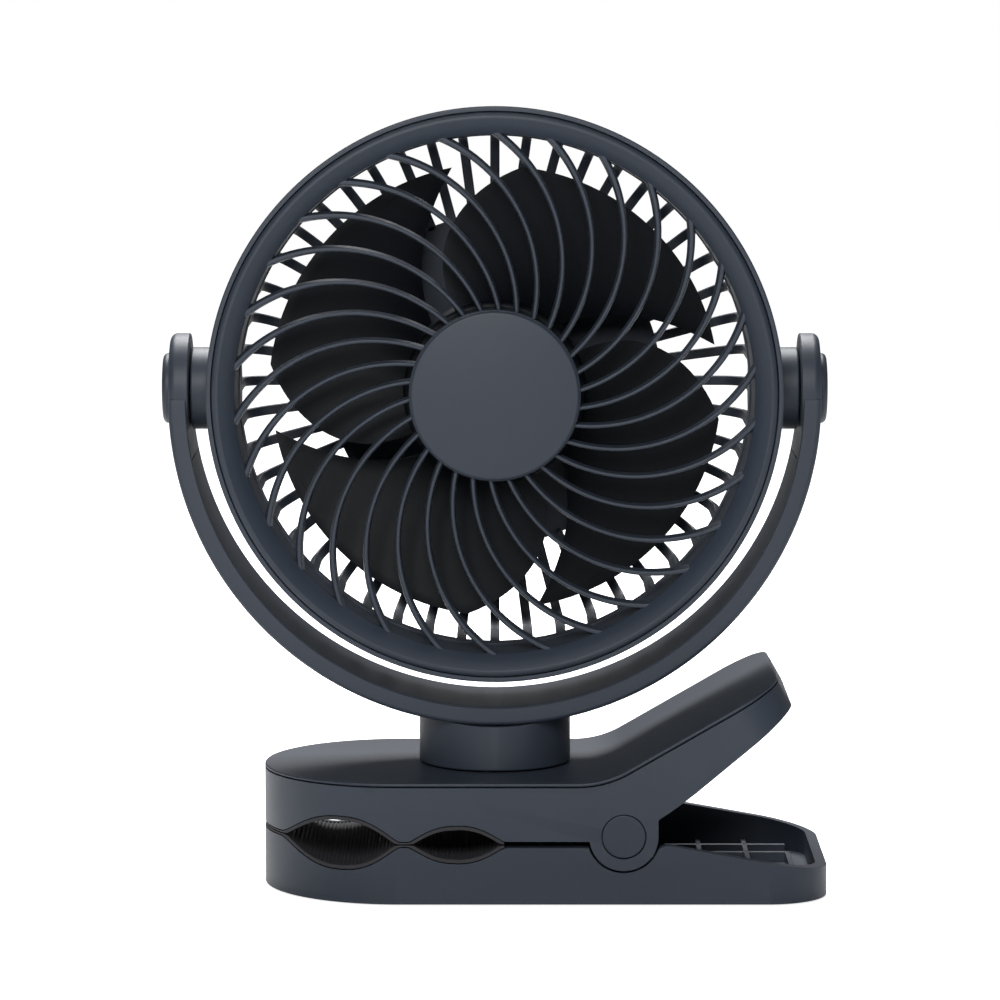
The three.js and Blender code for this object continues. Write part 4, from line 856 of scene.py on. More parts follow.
@dataclass
class LowerJaw:
    """The clip's base: shell with tray, ribs and hinge ears, and its ribbed pad."""

    form: ClipForm
    tray_floor: float = 2.4
    tray_wall: float = 3
    rim_x: float = 46.3
    rim_z: float = 15.5
    rim_slope: float = 10.1
    rib: float = 1.4
    rib_top: float = 5
    cross_ribs: tuple[float, ...] = (55, 67.4, 78.4)
    long_ribs: tuple[float, ...] = (-24.5, -13.5, 13.5, 24.5)
    ear_radius: float = 6.6
    ear_width: float = 5.5
    ear_outer_y: float = 30.2
    ear_foot: float = 1.4
    notch_leave: float = -25
    shoulder_run: float = 4.2
    shoulder_knee: Point2 = (0.9, 0.1)
    notch_lap: float = 0.4
    rib_gap: float = 3
    rib_sink: float = 0.5
    rib_wall: float = 1
    bay_gap: float = 0.2
    edge: float = 0.45
    small_edge: float = 0.25

    def rim_at(self, x: float) -> float:
        """Gives the height of the tray's rim at x."""
        return self.rim_z - (x - self.rim_x) * math.tan(math.radians(self.rim_slope))

    def outline(self) -> list[Point2]:
        """Gives the jaw from the front: flat base, falling rim, notch round the lug, wavy mouth.

        Returns:
            The outline.
        """
        form = self.form
        start_x, end_x = form.nose_x - OVERCUT, form.tail_x + OVERCUT
        radius = form.lug_radius + form.lug_gap
        notch_end = form.seam_angle(radius, Side.LOW)
        notch = arc(form.hinge_x, form.hinge_z, radius, self.notch_leave, notch_end, 40)
        rim_x, (run, rise) = notch[0][0] + self.shoulder_run, self.shoulder_knee
        knee = (notch[0][0] + run, self.rim_at(notch[0][0] + run) + rise)
        shoulder = curve((rim_x, self.rim_at(rim_x)), knee, notch[0])[:-1]
        wave = form.wave(Side.LOW, 0, notch[-1][0] - self.notch_lap)
        return [(start_x, 0), (end_x, 0), (end_x, self.rim_at(end_x)), *shoulder, *notch, *reversed(wave)]

    def build_shell(self) -> Piece:
        """Makes the shell with its open tray, its ribs and the ears of the hinge.

        Returns:
            The piece.
        """
        form = self.form
        shell = combine(form.base_plan(0, form.foot_lift), form.slab("front", self.outline()), Cut.KEEP)
        left, top = form.hinge_x - form.lug_radius - form.lug_gap + self.bay_gap, form.top_z
        corners = [(left, 0), (form.tail_x, 0), (form.tail_x, top), (left, top)]
        bay = form.base_plan(self.tray_wall, self.tray_floor)
        combine(bay, form.slab("bay_side", corners), Cut.KEEP)
        soften(combine(shell, bay, Cut.TAKE), self.edge)
        ribs = [self.rib_bar(y, Axis.Y) for y in self.long_ribs]
        ribs += [self.rib_bar(x, Axis.X) for x in self.cross_ribs]
        extras = [*ribs, *(self.ear(side) for side in Side)]
        return merge("base_shell", [shell, *(soften(extra, self.small_edge, 2) for extra in extras)])

    def rib_bar(self, at: float, across: Axis) -> Piece:
        """Makes one low, upright rib on the tray's floor.

        Args:
            at: The rib's middle on the axis that it is thin along.
            across: The axis that the rib is thin along.

        Returns:
            The rib.
        """
        form = self.form
        low, half = self.tray_floor - self.rib_sink, self.rib / 2
        if across is Axis.Y:
            start, end = form.hinge_x + form.lug_radius + form.lug_gap + self.rib_gap, self.cross_ribs[-1]
        else:
            reach = form.half_depth - self.rib_wall
            beyond = max(0, at - (form.tail_x - form.tail_corner))
            start = form.tail_corner - math.sqrt(form.tail_corner**2 - beyond**2) - reach
            end = self.long_ribs[-2] if at == self.cross_ribs[-1] else -start
        outline = [(start, low), (end, low), (end, self.rib_top), (start, self.rib_top)]
        return prism("rib", outline, at - half, at + half, across)

    def ear(self, side: Side) -> Piece:
        """Makes one of the two ears that carry the hinge pin.

        Args:
            side: Which of the two.

        Returns:
            The ear.
        """
        form = self.form
        crown = arc(form.hinge_x, form.hinge_z, self.ear_radius, 0, 180)
        left, right = form.hinge_x - self.ear_radius, form.hinge_x + self.ear_radius
        outline = [(left, self.ear_foot), (right, self.ear_foot), *crown]
        return side_prism("ear", outline, self.ear_outer_y, self.ear_outer_y - self.ear_width, side)

    def make(self) -> None:
        """Builds and dresses the jaw's visible pieces."""
        dress(self.build_shell(), "lower_jaw", "shell_plastic", SHELL, "lower_jaw_shell")
        dress(Pad(self.form, Side.LOW).build(), "lower_jaw", "pad_rubber", PAD, "lower_jaw_pad")


@dataclass
class Pad:
    """A rubber pad on one jaw's wave: a smooth lip round fine ribs, which die out where the mouth closes."""

    form: ClipForm
    side: Side
    edge: float = 0.9
    lip_width: float = 1.7
    lip_inset: float = 0.12
    rib_pitch: float = 1.0
    rib_depth: float = 0.3
    rib_recess: float = 0.12
    seat_gap: float = 0.3
    least_half_gap: float = 0.15
    swell_run: float = 2
    lip_step: float = 0.7
    end_x: float = 2.4

    def lip_at(self, x: float) -> float:
        """Gives the height of the lip's face at x, from the seam.

        Args:
            x: The place along the clip.

        Returns:
            The height, on either side of the seam.
        """
        opening = self.form.half_gap(x)
        thickness = min(self.edge, (opening - self.seat_gap) * 0.75) + self.seat_gap
        return max(opening - thickness, self.least_half_gap)

    def rib_at(self, x: float) -> float:
        """Gives the height of the ribbed face at x, from the seam.

        Args:
            x: The place along the clip.

        Returns:
            The height, on either side of the seam.
        """
        swell = min(1.0, max(0.0, (self.form.half_gap(x) - self.form.pinch_half_gap) / self.swell_run))
        ridge = 0.5 - 0.5 * math.cos(2 * math.pi * x / self.rib_pitch)
        return self.lip_at(x) + (self.rib_recess + self.rib_depth * ridge) * swell

    def layer(self, height: Callable[[float], float], step: float, outer: float) -> Piece:
        """Makes the pad between the shell's wave and a face, within the clip's plan.

        Args:
            height: Gives the face's height from the seam at x.
            step: Spacing of the points along the face.
            outer: How far the layer stays inside the clip's plan.

        Returns:
            The layer.
        """
        form = self.form
        start = form.nose_x - OVERCUT
        steps = int((self.end_x - start) / step)
        face = []
        for i in range(steps + 1):
            x = start + (self.end_x - start) * i / steps
            face.append((x, form.seam_z + self.side.value * height(x)))
        back = form.wave(self.side, -self.seat_gap, self.end_x)
        return combine(form.slab("layer", [*face, *reversed(back)]), form.base_plan(outer), Cut.KEEP)

    def build(self) -> Piece:
        """Makes the lip and the ribbed field inside it.

        Returns:
            The piece.
        """
        inner = self.lip_inset + self.lip_width
        lip = self.layer(self.lip_at, self.lip_step, self.lip_inset)
        combine(lip, self.form.base_plan(inner), Cut.TAKE)
        field = self.layer(self.rib_at, self.rib_pitch / 8, inner - 0.05)
        return merge(f"jaw_pad_{self.side.name.lower()}", [soften(lip, 0.12, 2), soften(field, 0)])


@dataclass
class UpperJaw:
    """The clip's upper half: shell with lever and lugs, top cover and hinge caps."""

    form: ClipForm
    cover_thickness: float = 2.4
    cover_edge: float = 0.9
    cover_rim: float = 1.2
    seat_gap: float = 0.3
    lug_width: float = 5
    cap_radius: float = 5.6
    cap_thickness: float = 1.6
    collar_inner: float = 9.0
    button_at: Point2 = (18, 25.2)
    button_radius: float = 2.7
    light_x: float = 12.4
    port_at: Point2 = (8.4, 22.85)
    port_size: Point2 = (9, 3.2)
    button_gap: float = 0.4
    light_hole: float = 0.86
    port_gap: float = 0.06
    cap_gap: float = 0.25
    cap_depth_gap: float = 0.3
    fillet_run: Point2 = (9.8, 7.1)
    fillet_control: Point2 = (4.8, 3.1)
    room_side: Point2 = (0.8, 1.5)
    roof_share: float = 1.25
    lug_lap: float = 0.3
    lug_inset: float = 0.02
    edge: float = 0.35
    lid_edge: float = 0.42

    @property
    def knee(self) -> Point2:
        """Where the lever's underside becomes straight."""
        form = self.form
        return (form.hinge_x + form.lug_radius + self.fillet_run[0], form.lug_corner_z + self.fillet_run[1])

    def outline(self) -> list[Point2]:
        """Gives the jaw from the front: wavy mouth, lug, fillet, lever and top.

        Returns:
            The outline.
        """
        form = self.form
        start = form.seam_angle(form.lug_radius, Side.HIGH)
        lug = arc(form.hinge_x, form.hinge_z, form.lug_radius, start, 0, 40)
        x, z = form.hinge_x + form.lug_radius, form.lug_corner_z
        fillet = curve((x, z), (x + self.fillet_control[0], z + self.fillet_control[1]), self.knee)
        tip = form.on_lever(form.lever_length, form.lever_tip_thickness)
        return [*form.wave(Side.HIGH, 0, lug[0][0] - self.lug_lap), *lug, *fillet, tip, *form.top_line(0, 0)]

    def room(self) -> Piece:
        """Makes the hollow inside the jaw, open downwards between the lugs.

        Returns:
            The solid to take away.
        """
        form, lift = self.form, self.form.wall * self.roof_share
        left = form.hinge_x - form.lug_radius - form.lug_gap - self.room_side[0]
        right = form.hinge_x + form.lug_radius + self.room_side[1]
        tip = form.on_lever(form.lever_length + OVERCUT, form.lever_tip_thickness - form.wall)
        outline = [
            *form.wave(Side.HIGH, form.wall, left), (left, 0), (right, 0),
            (right, form.lug_corner_z + 1 + lift), (self.knee[0], self.knee[1] + lift), tip,
            *form.top_line(self.cover_thickness, OVERCUT),
        ]
        return combine(form.slab("room", outline), form.upper_plan(form.wall), Cut.KEEP)

    def lug(self, side: Side) -> Piece:
        """Makes one of the two lugs that turn on the hinge pin.

        Args:
            side: Which of the two.

        Returns:
            The lug.
        """
        form = self.form
        x, radius, top = form.hinge_x, form.lug_radius, form.top_z - self.cover_thickness - 1
        outline = [(x - radius, top), *arc(x, form.hinge_z, radius, 180, 360, 64), (x + radius, top)]
        near, far = form.half_depth - self.lug_inset, form.half_depth - self.lug_width
        return side_prism("lug", outline, near, far, side)

    def build_shell(self) -> Piece:
        """Makes the shell with its lugs, the cover's pocket and the rear openings.

        Returns:
            The piece.
        """
        form = self.form
        shell = combine(form.slab("jaw_shell", self.outline()), form.upper_plan(0), Cut.KEEP)
        combine(shell, self.room(), Cut.TAKE)
        for side in Side:
            combine(shell, self.lug(side), Cut.JOIN)
        pocket = form.top_layer(OVERCUT, self.cover_thickness + self.seat_gap)
        combine(shell, combine(pocket, form.upper_plan(self.cover_rim), Cut.KEEP), Cut.TAKE)
        combine(shell, form.top_layer(OVERCUT, self.cover_edge + self.seat_gap), Cut.TAKE)
        (x, z), outside = self.button_at, form.half_depth + OVERCUT
        button = circle(x, z, self.button_radius + self.button_gap, 60)
        light = circle(self.light_x, z, self.light_hole, 60)
        for outline in (button, light, self.port_outline(self.port_gap)):
            hole = prism("hole", outline, form.half_depth - form.wall - OVERCUT, outside, Axis.Y)
            combine(shell, hole, Cut.TAKE)
        seat = circle(form.hinge_x, form.hinge_z, self.cap_radius + self.cap_gap)
        floor = form.half_depth - self.cap_thickness - self.cap_depth_gap
        for side in Side:
            combine(shell, side_prism("seat", seat, outside, floor, side), Cut.TAKE)
        return soften(shell, self.edge)

    def port_outline(self, grow: float) -> list[Point2]:
        """Gives the charging port's opening from the rear, grown by a margin.

        Args:
            grow: The margin.

        Returns:
            The outline.
        """
        (x, z), (width, height) = self.port_at, self.port_size
        half, radius = (width - height) / 2, height / 2 + grow
        return [*arc(x + half, z, radius, -90, 90), *arc(x - half, z, radius, 90, 270)]

    def build_cover(self) -> Piece:
        """Makes the bent lid over the shell's top, with a plug that drops into the shell.

        Returns:
            The piece.
        """
        form = self.form
        lid = combine(form.top_layer(0, self.cover_edge), form.upper_plan(0), Cut.KEEP)
        plug = form.top_layer(0.2 - self.cover_edge, self.cover_thickness)
        combine(plug, form.upper_plan(self.cover_rim + self.seat_gap), Cut.KEEP)
        for layer in (lid, plug):
            bore = prism("bore", circle(0, 0, self.collar_inner), 0, form.top_z + form.above, Axis.Z)
            combine(layer, bore, Cut.TAKE)
        return merge("jaw_lid", [soften(lid, self.lid_edge, 4), soften(plug, 0.2, 2)])

    def build_cap(self, side: Side) -> Piece:
        """Makes the round cap over one end of the hinge pin.

        Args:
            side: Which of the two.

        Returns:
            The piece.
        """
        form, face, radius = self.form, self.form.half_depth - 0.1, self.cap_radius
        back = face - self.cap_thickness
        profile = [(0, back), (radius, back), *corner(radius, face, 0.3, Side.HIGH, 4), (0, face)]
        cap = lathe(f"hinge_cap_{side.name.lower()}", profile, Axis.Y, side=side)
        return soften(move(cap, form.hinge_x, 0, form.hinge_z), 0)

    def make(self) -> None:
        """Builds and dresses the jaw's visible pieces."""
        dress(self.build_shell(), "upper_jaw", "shell_plastic", SHELL, "upper_jaw_shell")
        dress(self.build_cover(), "upper_jaw", "shell_plastic", COVER, "top_cover")
        dress(Pad(self.form, Side.HIGH).build(), "upper_jaw", "pad_rubber", PAD, "upper_jaw_pad")
        for side, node in ((Side.LOW, "hinge_cap_front"), (Side.HIGH, "hinge_cap_rear")):
            dress(self.build_cap(side), "upper_jaw", "shell_plastic", SHELL, node)


# ---- Neck and yoke ----


@dataclass
class Neck:
    """The round neck that turns on the clip and carries the yoke."""

    pivot_z: float
    radius: float = 19.9
    wall: float = 2.4
    foot_z: float = 32.4
    height: float = 21
    ledge: float = 8
    ledge_thickness: float = 2
    ledge_drop: float = 9
    yoke_outer: float = 84.9
    yoke_drop: float = 1.9
    yoke_gap: float = 0.15

    def build(self) -> Piece:
        """Makes the neck's skirt, its top cut to the yoke's curve.

        Returns:
            The piece.
        """
        radius, inner, top = self.radius, self.radius - self.wall, self.foot_z + self.height
        ledge, under = inner - self.ledge, top - self.ledge_thickness
        profile = [
            (inner, self.foot_z), *corner(radius, self.foot_z, 0.6, Side.LOW, 6), (radius, top), (ledge, top),
            (ledge, under), (inner, top - self.ledge_drop),
        ]
        neck = lathe("neck_skirt", profile, Axis.Z, 160)
        saddle = circle(0, self.pivot_z - self.yoke_drop, self.yoke_outer + self.yoke_gap, 360)
        return soften(combine(neck, prism("saddle", saddle, -30, 30, Axis.Y), Cut.TAKE), 0.25)

    def make(self) -> None:
        """Builds and dresses the neck."""
        dress(self.build(), "yoke", "shell_plastic", SHELL, "neck")


@dataclass
class Yoke:
    """The half-round yoke: a channel with round ears, its inner cover and the pivot caps."""

    pivot_z: float
    inner: float = 80.2
    outer: float = 84.9
    drop: float = 1.9
    width: float = 37
    ear_round: float = 14.4
    ear_pad: float = 0.5
    ear_edge: float = 1.9
    edge: float = 1.3
    rim: float = 1.7
    back: float = 1.6
    cover_thickness: float = 1.1
    cover_gap: float = 0.22
    cover_end: float = 11
    cap_radius: float = 9.2
    cap_height: float = 1.9
    cap_edge: float = 1.3
    lip_edge: float = 0.25
    end_steps: int = 12
    arch_steps: int = 140

    def half_width(self, angle: float) -> float:
        """Gives half the front-to-rear width at an angle below the tilt axis, in radians."""
        return self.ear_round + (self.width / 2 - self.ear_round) * math.sin(angle)

    def band(self, section: Callable[[float], list[Point2]], start: float, end: float, steps: int) -> Piece:
        """Lofts a section of radius and depth pairs along the half circle.

        Args:
            section: Gives the section for a half width.
            start: First angle below the tilt axis on the left, in degrees.
            end: Last angle, in degrees.
            steps: Number of flats.

        Returns:
            The band, about the tilt axis, its edges shaded.
        """
        rings = []
        for i in range(steps + 1):
            angle = math.radians(start + (end - start) * i / steps)
            points = section(self.half_width(angle))
            rings.append([(-r * math.cos(angle), y, -r * math.sin(angle) - self.drop) for r, y in points])
        return soften(loft("yoke_strip", rings), 0, angle=30)

    def solid_section(self, half: float, channel: Sequence[Point2] = ()) -> list[Point2]:
        """Gives the frame's section: flat back with rounded edges, and a channel's points or none.

        Args:
            half: Half the band's width.
            channel: The channel's points.

        Returns:
            Radius and depth pairs.
        """
        inner, small = self.inner, self.lip_edge
        outside = both_corners(self.outer, half, self.edge, 6)
        rear = [(inner + small, half), (inner, half - small)]
        return [*outside, *rear, *channel, (inner, small - half), (inner + small, -half)]

    def channel_section(self, half: float) -> list[Point2]:
        """Gives the frame's section where the inner cover lies in it."""
        step, inner, floor = half - self.rim, self.inner, self.outer - self.back
        return self.solid_section(half, [(inner, step), (floor, step), (floor, -step), (inner, -step)])

    def cover_section(self, half: float) -> list[Point2]:
        """Gives the inner cover's section, flush with the frame's lips.

        Args:
            half: Half the band's width.

        Returns:
            Radius and depth pairs.
        """
        reach, small = half - self.rim - self.cover_gap, 0.2
        inner, deep = self.inner, self.inner + self.cover_thickness
        top = [(inner, small - reach), (inner, reach - small), (inner + small, reach), (deep, reach)]
        return [*top, (deep, -reach), (inner + small, -reach)]

    def ear(self, side: Side) -> Piece:
        """Makes one round ear, with a flat pad on its inner face.

        Args:
            side: Which of the two.

        Returns:
            The ear.
        """
        face, radius, small = self.inner - self.ear_pad, self.ear_round, self.lip_edge
        edge = corner(radius, self.outer, self.ear_edge, Side.HIGH, 8)
        profile = [(0, face), (radius - small, face), (radius, face + small), *edge, (0, self.outer)]
        return soften(lathe("ear", profile, Axis.X, 128, side), 0, angle=30)

    def build_frame(self) -> Piece:
        """Makes the yoke's frame.

        Returns:
            The piece.
        """
        end = self.cover_end
        arch = self.band(self.channel_section, end, 180 - end, self.arch_steps)
        ends = [self.band(self.solid_section, start, start + end, self.end_steps) for start in (0, 180 - end)]
        return move(merge("yoke_arch", [arch, *ends, *(self.ear(side) for side in Side)]), z=self.pivot_z)

    def build_cover(self) -> Piece:
        """Makes the strip that covers the channel."""
        start = self.cover_end + 0.25
        return move(self.band(self.cover_section, start, 180 - start, self.arch_steps), z=self.pivot_z)

    def build_cap(self, side: Side) -> Piece:
        """Makes the round cap outside one ear, its face very slightly domed.

        Args:
            side: Which of the two.

        Returns:
            The piece.
        """
        out, face, radius = self.outer + 0.05, self.outer + 0.05 + self.cap_height, self.cap_radius
        rim = arc(radius - self.cap_edge, face - self.cap_edge, self.cap_edge, 0, 88, 8)
        profile = [(0, out - 1), (radius - 1.2, out - 1), (radius, out), *rim, (0, face)]
        cap = lathe(f"pivot_cap_{side.name.lower()}", profile, Axis.X, side=side)
        return move(soften(cap, 0), z=self.pivot_z)

    def make(self) -> None:
        """Builds and dresses the yoke's visible pieces."""
        dress(self.build_frame(), "yoke", "shell_plastic", SHELL, "yoke_frame")
        # The strip gets the darker copy of the shell's finish, painted shade for the head's shadow.
        dress(self.build_cover(), "yoke", "shell_plastic", SHADED_STRIP, "yoke_inner_cover")
        for side, node in ((Side.LOW, "pivot_cap_left"), (Side.HIGH, "pivot_cap_right")):
            dress(self.build_cap(side), "yoke", "shell_plastic", SHELL, node)


# ---- Head ----


@dataclass
class Grille:
    """The front grille: bezel, curved ribs and hub ring in one moulding, with a plain disc."""

    pivot_z: float
    front: float = -25
    outer: float = 73.05
    crest: float = 71.55
    throat: float = 67.2
    throat_y: float = -21.4
    wall: float = 1.8
    rib_count: int = 30
    rib_crest: float = 0.95
    rib_root: float = 1.6
    rib_spread: float = 0.35
    rib_depth: float = 3.2
    rib_radius: float = 41.1
    rib_centre: Point2 = (41.5, 73.2)
    rib_start: float = 3.5
    hub_radius: float = 22.2
    hub_wall: float = 2.4
    disc_radius: float = 21.9
    disc_thickness: float = 2
    disc_dome: float = 1.0
    disc_edge: float = 0.9
    hub_lead: float = 1.2
    hub_floor: float = 1.5
    crest_round: float = 1.5
    slope: tuple[Point2, Point2] = ((2.6, 1.1), (1.3, 2.2))
    throat_round: float = 1.2
    rim_foot: float = -12.6
    skirt: Point2 = (0.4, -9.2)
    rib_steps: int = 32

    @property
    def hub_front(self) -> float:
        """Depth of the hub ring's front edge."""
        return self.throat_y - self.hub_lead

    def build_bezel(self) -> Piece:
        """Makes the bezel ring with its rounded crest and sloping throat.

        Returns:
            The ring, about the fan's axis.
        """
        outer, throat, wall, foot = self.outer, self.throat, self.wall, self.rim_foot
        crest = arc(self.crest, self.front + self.crest_round, self.crest_round, 0, -100, 10)
        slope = [(throat + out, self.front + back) for out, back in self.slope]
        lip = arc(throat + self.throat_round, self.throat_y + 0.9, self.throat_round, 215, 180, 5)
        skirt = [(throat - self.skirt[0], self.skirt[1]), (throat + self.throat_round, self.skirt[1])]
        inner = outer - wall
        inside = [(throat + wall, self.throat_y + 2), (inner, self.front + wall + 0.4), (inner, foot)]
        profile = [(outer, foot), *crest, *slope, *lip, *skirt, *inside]
        return soften(lathe("bezel", profile, Axis.Y, 220), 0, angle=38)

    def build_rib(self) -> Piece:
        """Makes one curved rib with rounded front edges, from the hub ring to the bezel.

        Returns:
            The rib, in the fan's frame.
        """
        distance, bearing = self.rib_centre[0], math.radians(self.rib_centre[1])
        x, z = distance * math.cos(bearing), distance * math.sin(bearing)

        def angle_at(radius: float) -> float:
            """Gives the angle on the rib's own circle at a distance from the fan's axis."""
            cosine = (self.rib_radius**2 + distance**2 - radius**2) / (2 * self.rib_radius * distance)
            return bearing + math.pi + math.acos(cosine)

        first, last = angle_at(self.hub_radius - self.hub_wall / 2), angle_at(self.throat + self.wall / 2)
        low, high, small, chamfer = self.throat_y, self.throat_y + self.rib_depth, 0.4, 0.2
        rings = []
        for i in range(self.rib_steps + 1):
            angle = first + (last - first) * i / self.rib_steps
            swell = 1 + self.rib_spread * max(0.0, 2 * i / self.rib_steps - 1)
            crest, root = self.rib_crest / 2 * swell, self.rib_root / 2 * swell
            section = [
                *arc(crest - small, low + small, small, -90, -10, 5), (root, high - chamfer),
                (root - chamfer, high), (chamfer - root, high), (-root, high - chamfer),
                *arc(small - crest, low + small, small, -170, -90, 5),
            ]
            reach = [(self.rib_radius + u, y) for u, y in section]
            rings.append([(x + r * math.cos(angle), y, z + r * math.sin(angle)) for r, y in reach])
        return soften(loft("rib", rings), 0, angle=30)

    def build(self) -> Piece:
        """Makes the whole front moulding.

        Returns:
            The piece.
        """
        front, rear = self.hub_front, self.throat_y + self.rib_depth
        radius, inner, floor = self.hub_radius, self.hub_radius - self.hub_wall, rear - self.hub_floor
        edge = corner(radius, front, 0.4, Side.LOW, 4)
        profile = [(inner, front), *edge, (radius, rear), (0, rear), (0, floor), (inner, floor)]
        hub = soften(lathe("hub", profile, Axis.Y, 160), 0)
        ribs = repeat_round("ribs", self.build_rib(), self.rib_count, Axis.Y, -self.rib_start)
        return move(merge("swirl_grille", [self.build_bezel(), hub, ribs]), z=self.pivot_z)

    def build_disc(self) -> Piece:
        """Makes the plain disc over the hub, with a soft edge.

        Returns:
            The piece.
        """
        seat, front = self.throat_y - 1.5, self.hub_front - self.disc_thickness
        flat, steps = self.disc_radius - self.disc_edge, 24
        crown = [(flat * i / steps, front + self.disc_dome * (i / steps) ** 2) for i in range(steps)]
        edge = arc(flat, front + self.disc_dome + self.disc_edge, self.disc_edge, -84, 0, 8)
        plug = self.hub_radius - self.hub_wall - 0.3
        profile = [*crown, *edge, (self.disc_radius, seat), (plug, seat), (plug, seat + 2), (0, seat + 2)]
        return move(soften(lathe("hub_disc", profile, Axis.Y, 160), 0), z=self.pivot_z)

    def make(self) -> None:
        """Builds and dresses the grille and its disc."""
        dress(self.build(), "head", "shell_plastic", SHELL, "front_grille")
        dress(self.build_disc(), "head", "shell_plastic", SHELL, "grille_disc")


@dataclass
class Basket:
    """The rear shell: rim, slotted basket, motor cup and pivot bosses."""

    pivot_z: float
    rim_radius: float = 74.5
    step_radius: float = 73.9
    rim_wall: float = 1.3
    front: float = -24
    step_y: float = -8.5
    radius: float = 68.4
    wall: float = 2
    rear: float = 24
    turn: float = 8
    bar_count: int = 48
    bar_width: float = 2.5
    slot_start: float = -3.5
    plate_radius: float = 44.3
    cup_radius: float = 20
    boss_radius: float = 10.75
    boss_end: float = 79.3
    washer_seat: Point2 = (8.4, 78.2)
    rim_corner: float = 1.6
    cup_front: float = 8
    cup_wall: float = 2
    straight_to: float = 6
    flat_from: float = 52

    def build_rim(self) -> Piece:
        """Makes the band outside the bezel and the step behind it.

        Returns:
            The rim, about the fan's axis.
        """
        outer, inner, front = self.rim_radius, self.rim_radius - self.rim_wall, self.front
        step, end, radius = self.step_y + self.wall, self.slot_start, self.radius
        inside = radius - self.wall
        lip = [(inner, front + 0.2), (inner + 0.2, front), (outer - 0.5, front), (outer, front + 0.5)]
        turn = corner(self.step_radius, step, self.rim_corner, Side.HIGH, 8)
        band = [(radius, step), (radius, end), (inside, end), (inside, self.step_y), (inner, self.step_y)]
        return soften(lathe("rim", [*lip, *turn, *band], Axis.Y, 220), 0, angle=38)

    def bar(self, path: Sequence[Point2]) -> Piece:
        """Makes one bar of the basket along a path of radius and depth pairs.

        Args:
            path: Points on the bar's middle line, in the plane of the fan's axis.

        Returns:
            The bar, lying in the XY plane.
        """
        half, deep, small = self.bar_width / 2, self.wall / 2, 0.35
        corners = ((1, 1, 0), (-1, 1, 90), (-1, -1, 180), (1, -1, 270))
        section = [
            point for a, b, turn in corners
            for point in arc(a * (half - small), b * (deep - small), small, turn, turn + 90, 3)
        ]
        rings = []
        for i, (radius, y) in enumerate(path):
            before, after = path[max(i - 1, 0)], path[min(i + 1, len(path) - 1)]
            along = Vector((after[0] - before[0], after[1] - before[1])).normalized()
            outward = (along[1], -along[0])
            rings.append([(radius + v * outward[0], y + v * outward[1], u) for u, v in section])
        return soften(loft("bar", rings), 0, angle=30)

    def build_bars(self) -> Piece:
        """Makes the ring of bars between the rim and the plain middle of the rear face.

        Returns:
            All the bars, about the fan's axis.
        """
        half, start, end = self.wall / 2, self.slot_start - 1, self.plate_radius - 1
        middle, deep = self.radius - half, self.rear - half
        turn = arc(self.radius - self.turn, self.rear - self.turn, self.turn - half, 0, 90, 12)
        path = [(middle, start), (middle, self.straight_to), *turn, (self.flat_from, deep), (end, deep)]
        return repeat_round("bars", self.bar(path), self.bar_count, Axis.Y)

    def build_boss(self, side: Side) -> Piece:
        """Makes the round boss that one pivot screw goes into.

        Args:
            side: Which of the two.

        Returns:
            The boss, about the tilt axis.
        """
        radius, end, (seat_radius, seat) = self.boss_radius, self.boss_end, self.washer_seat
        foot, edge = self.radius - self.wall + 0.4, corner(radius, end, 0.5, Side.HIGH, 5)
        profile = [(0, foot), (radius, foot), *edge, (seat_radius, end), (seat_radius, seat), (0, seat)]
        return soften(lathe("boss", profile, Axis.X, side=side), 0)

    def build(self) -> Piece:
        """Makes the whole rear shell.

        Returns:
            The piece.
        """
        face, back, edge = self.rear, self.rear - self.wall, self.plate_radius
        profile = [(0, face), (edge - 0.4, face), (edge, face - 0.4), (edge, back), (0, back)]
        plate = soften(lathe("plate", profile, Axis.Y, 160), 0)
        outer, inner, front = self.cup_radius, self.cup_radius - self.cup_wall, self.cup_front
        cup = lathe("cup", [(inner, front), (outer, front), (outer, face - 1), (inner, face - 1)], Axis.Y)
        bosses = [self.build_boss(side) for side in Side]
        pieces = [self.build_rim(), plate, soften(cup, 0), self.build_bars(), *bosses]
        return move(merge("rear_basket", pieces), z=self.pivot_z)

    def make(self) -> None:
        """Builds and dresses the rear shell."""
        dress(self.build(), "head", "shell_plastic", SHELL, "rear_shell")


